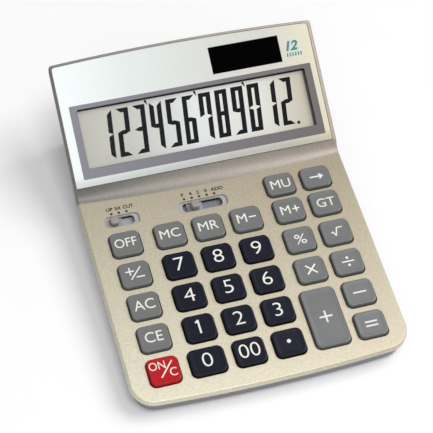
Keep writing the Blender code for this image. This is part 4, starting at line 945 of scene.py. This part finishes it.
# Painted shade: the walls round the window opening are painted near black, for the shade inside the opening.
near_window = [size / 2 + EDGE_BREAK + 0.01 * MM for size in WINDOW[2:]]
for face in plate_bm.faces:
    place = face.calc_center_median()
    if (abs(face.normal.z) < 0.99 and abs(place.x - WINDOW[0]) < near_window[0]
            and abs(place.y - WINDOW[1]) < near_window[1]):
        face.material_index = 1
bmesh.ops.transform(plate_bm, matrix=head, verts=plate_bm.verts)

silver = Finish("plate_silver", (0.78, 0.79, 0.78), 0.5, metallic=0.35)
brushed = silver.noise(0.12 * MM, 3, (0.02, 1, 1))
# Painted light: the silver is lighter and bluish at the left and darker and warmer towards the right, for the
# lamps' light on the metal. It is also darker along its front edge.
painted_sheen = silver.node("ShaderNodeValToRGB", {"stops": [(0.0, (0.77, 0.81, 0.81)), (1.0, (0.67, 0.63, 0.49)),
                                                     (0.27, (0.64, 0.69, 0.68)), (0.6, (0.58, 0.59, 0.56)),
                                                     (0.83, (0.57, 0.56, 0.51))]},
                    {0: silver.share(silver.along("X"), -68 * MM, 68 * MM)})
lip = silver.mix(silver.share(silver.along("Y"), 34 * MM, 38 * MM), (0.76, 0.75, 0.74), (1, 1, 1))
grit = silver.mix(silver.noise(0.8 * MM, 3) * 0.6 + brushed * 0.4, (0.88, 0.88, 0.87), (1.12, 1.12, 1.12))
silver.set("Base Color", silver.times(silver.times(painted_sheen, lip), grit))
silver.set("Roughness", 0.46 + 0.12 * brushed)
silver.bump(brushed, 0.004 * MM)
window_wall_shade = moulded("window_wall_shade", (0.07, 0.06, 0.06), 0.5)
finished("head_plate", weighted(smoothed(plate_bm, "head_plate"), 30), [silver, window_wall_shade], "case",
         "plate_silver", "display_plate")


# Printed border
# A band of lavender grey ink round the display window, and a teal number beside the solar cell.
# Both are printed on the plate, a few hundredths of a millimetre high.
lavender = Finish("border_lavender", (0.22, 0.205, 0.25), 0.42, metallic=0.15)
# Painted light: the ink is lighter and bluer at the left and darker and warmer at the right, like the plate's
# painted light.
fade = lavender.share(lavender.along("X"), -60 * MM, 60 * MM)
lavender.set("Base Color", lavender.mix(fade * 0.8 + lavender.noise(0.25 * MM, 2) * 0.2, (0.19, 0.187, 0.23),
                                        (0.13, 0.11, 0.107)))
band_bm, band_hole = bmesh.new(), bmesh.new()
slab(band_bm, 130.3 * MM, 38.2 * MM, *INK_FILM, 0.275 * MM, 22.9 * MM, 0.6 * MM)
bmesh.ops.recalc_face_normals(band_bm, faces=band_bm.faces)
slab(band_hole, WINDOW[2] + 0.3 * MM, WINDOW[3] + 0.3 * MM, -1 * MM, 1 * MM, *WINDOW[:2], 0.9 * MM)
band = carve(mesh_of(band_bm, "band"), band_hole)
band.transform(head)
finished("border_print", band, lavender, "case", None)

teal = Finish("print_teal", (0.004, 0.24, 0.27), 0.45)
teal.set("Base Color", teal.mix(teal.noise(0.3 * MM, 2), (0.003, 0.22, 0.25), (0.006, 0.26, 0.29)))
number = bmesh.new()
lettering(number, "12", 5.3 * MM, 57.6 * MM, 52.7 * MM, *INK_FILM, 0.04, 1.05, 0.3)
for tick in range(6):
    x = 54.3 + 1.5 * tick
    stroke(number, (x * MM, 47.0 * MM), ((x + 0.2) * MM, 49.0 * MM), 0.7 * MM, *INK_FILM)
bmesh.ops.transform(number, matrix=head, verts=number.verts)
finished("teal_number", smoothed(number, "teal_number"), teal, "case", None)


# Studio floor
# A wide sheet of pale paper under the calculator.
# The camera, gloss and glass see it as nearly white, and it keeps the calculator's shadow.
floor_bm = bmesh.new()
bmesh.ops.create_grid(floor_bm, x_segments=1, y_segments=1, size=6)
floor = placed("floor", mesh_of(floor_bm, "floor"))
paper = Finish("floor_paper", (0.89, 0.89, 0.89), 0.9, specular_ior_level=0.1)
paper.set("Base Color", paper.mix(paper.noise(20 * MM, 2), (0.88, 0.88, 0.88), (0.90, 0.90, 0.90)))
camera_ray, glossy_ray, glass_ray = [paper.node("ShaderNodeLightPath", {}, {}, f"Is {kind} Ray")
                                     for kind in ("Camera", "Glossy", "Transmission")]
seen = camera_ray + glossy_ray + glass_ray
paper.set("Emission Color", paper.mix(seen, (0, 0, 0), (1, 1, 1)))
paper.set("Emission Strength", 0.12)
floor.data.materials.append(paper.material)


# Studio light
# A large soft lamp above and behind to the right gives the shadow. Two weak ones fill in from above
# and from the front, and the room is pale.
def lamp(name, place, size, power):
    """A square lamp of a size that faces the calculator's middle."""
    light = bpy.data.lights.new(name, "AREA")
    light.shape = "RECTANGLE"
    light.size = light.size_y = size
    light.energy = power
    thing = placed(name, light)
    thing.location = place
    thing.rotation_euler = (Vector((0, 0, 0.03)) - Vector(place)).to_track_quat("-Z", "Y").to_euler()


lamp("key_light", (1.8, 0.1, 2.5), 1.9, 54)
lamp("overhead_light", (-0.03, -0.35, 1.1), 0.35, 3.2)
lamp("fill_light", (-0.5, -0.9, 0.8), 0.8, 1.0)
world = bpy.data.worlds.new("studio")
bpy.context.scene.world = world
world.use_nodes = True
room = world.node_tree.nodes["Background"].inputs
room["Color"].default_value = (1, 1, 1, 1)
room["Strength"].default_value = 0.33
bpy.context.scene.view_settings.view_transform = "Standard"


# Camera
# It looks down on the front from a little to the left, from about 0.8 m, with a long lens.
# The focal length is 1522.5 pixels of a picture that is 433 wide.
lens = bpy.data.cameras.new("camera")
lens.sensor_width = 36
lens.lens = lens.sensor_width * 1522.5 / 433
camera = placed("camera", lens)
camera.matrix_world = Matrix(((0.9554697522, 0.1967612988, -0.2199174215, -0.1741158575),
                              (-0.2864139471, 0.7977351285, -0.5306474552, -0.4074028439),
                              (0.0710269072, 0.5700061230, 0.8185657131, 0.6529415512),
                              (0, 0, 0, 1)))
bpy.context.scene.camera = camera
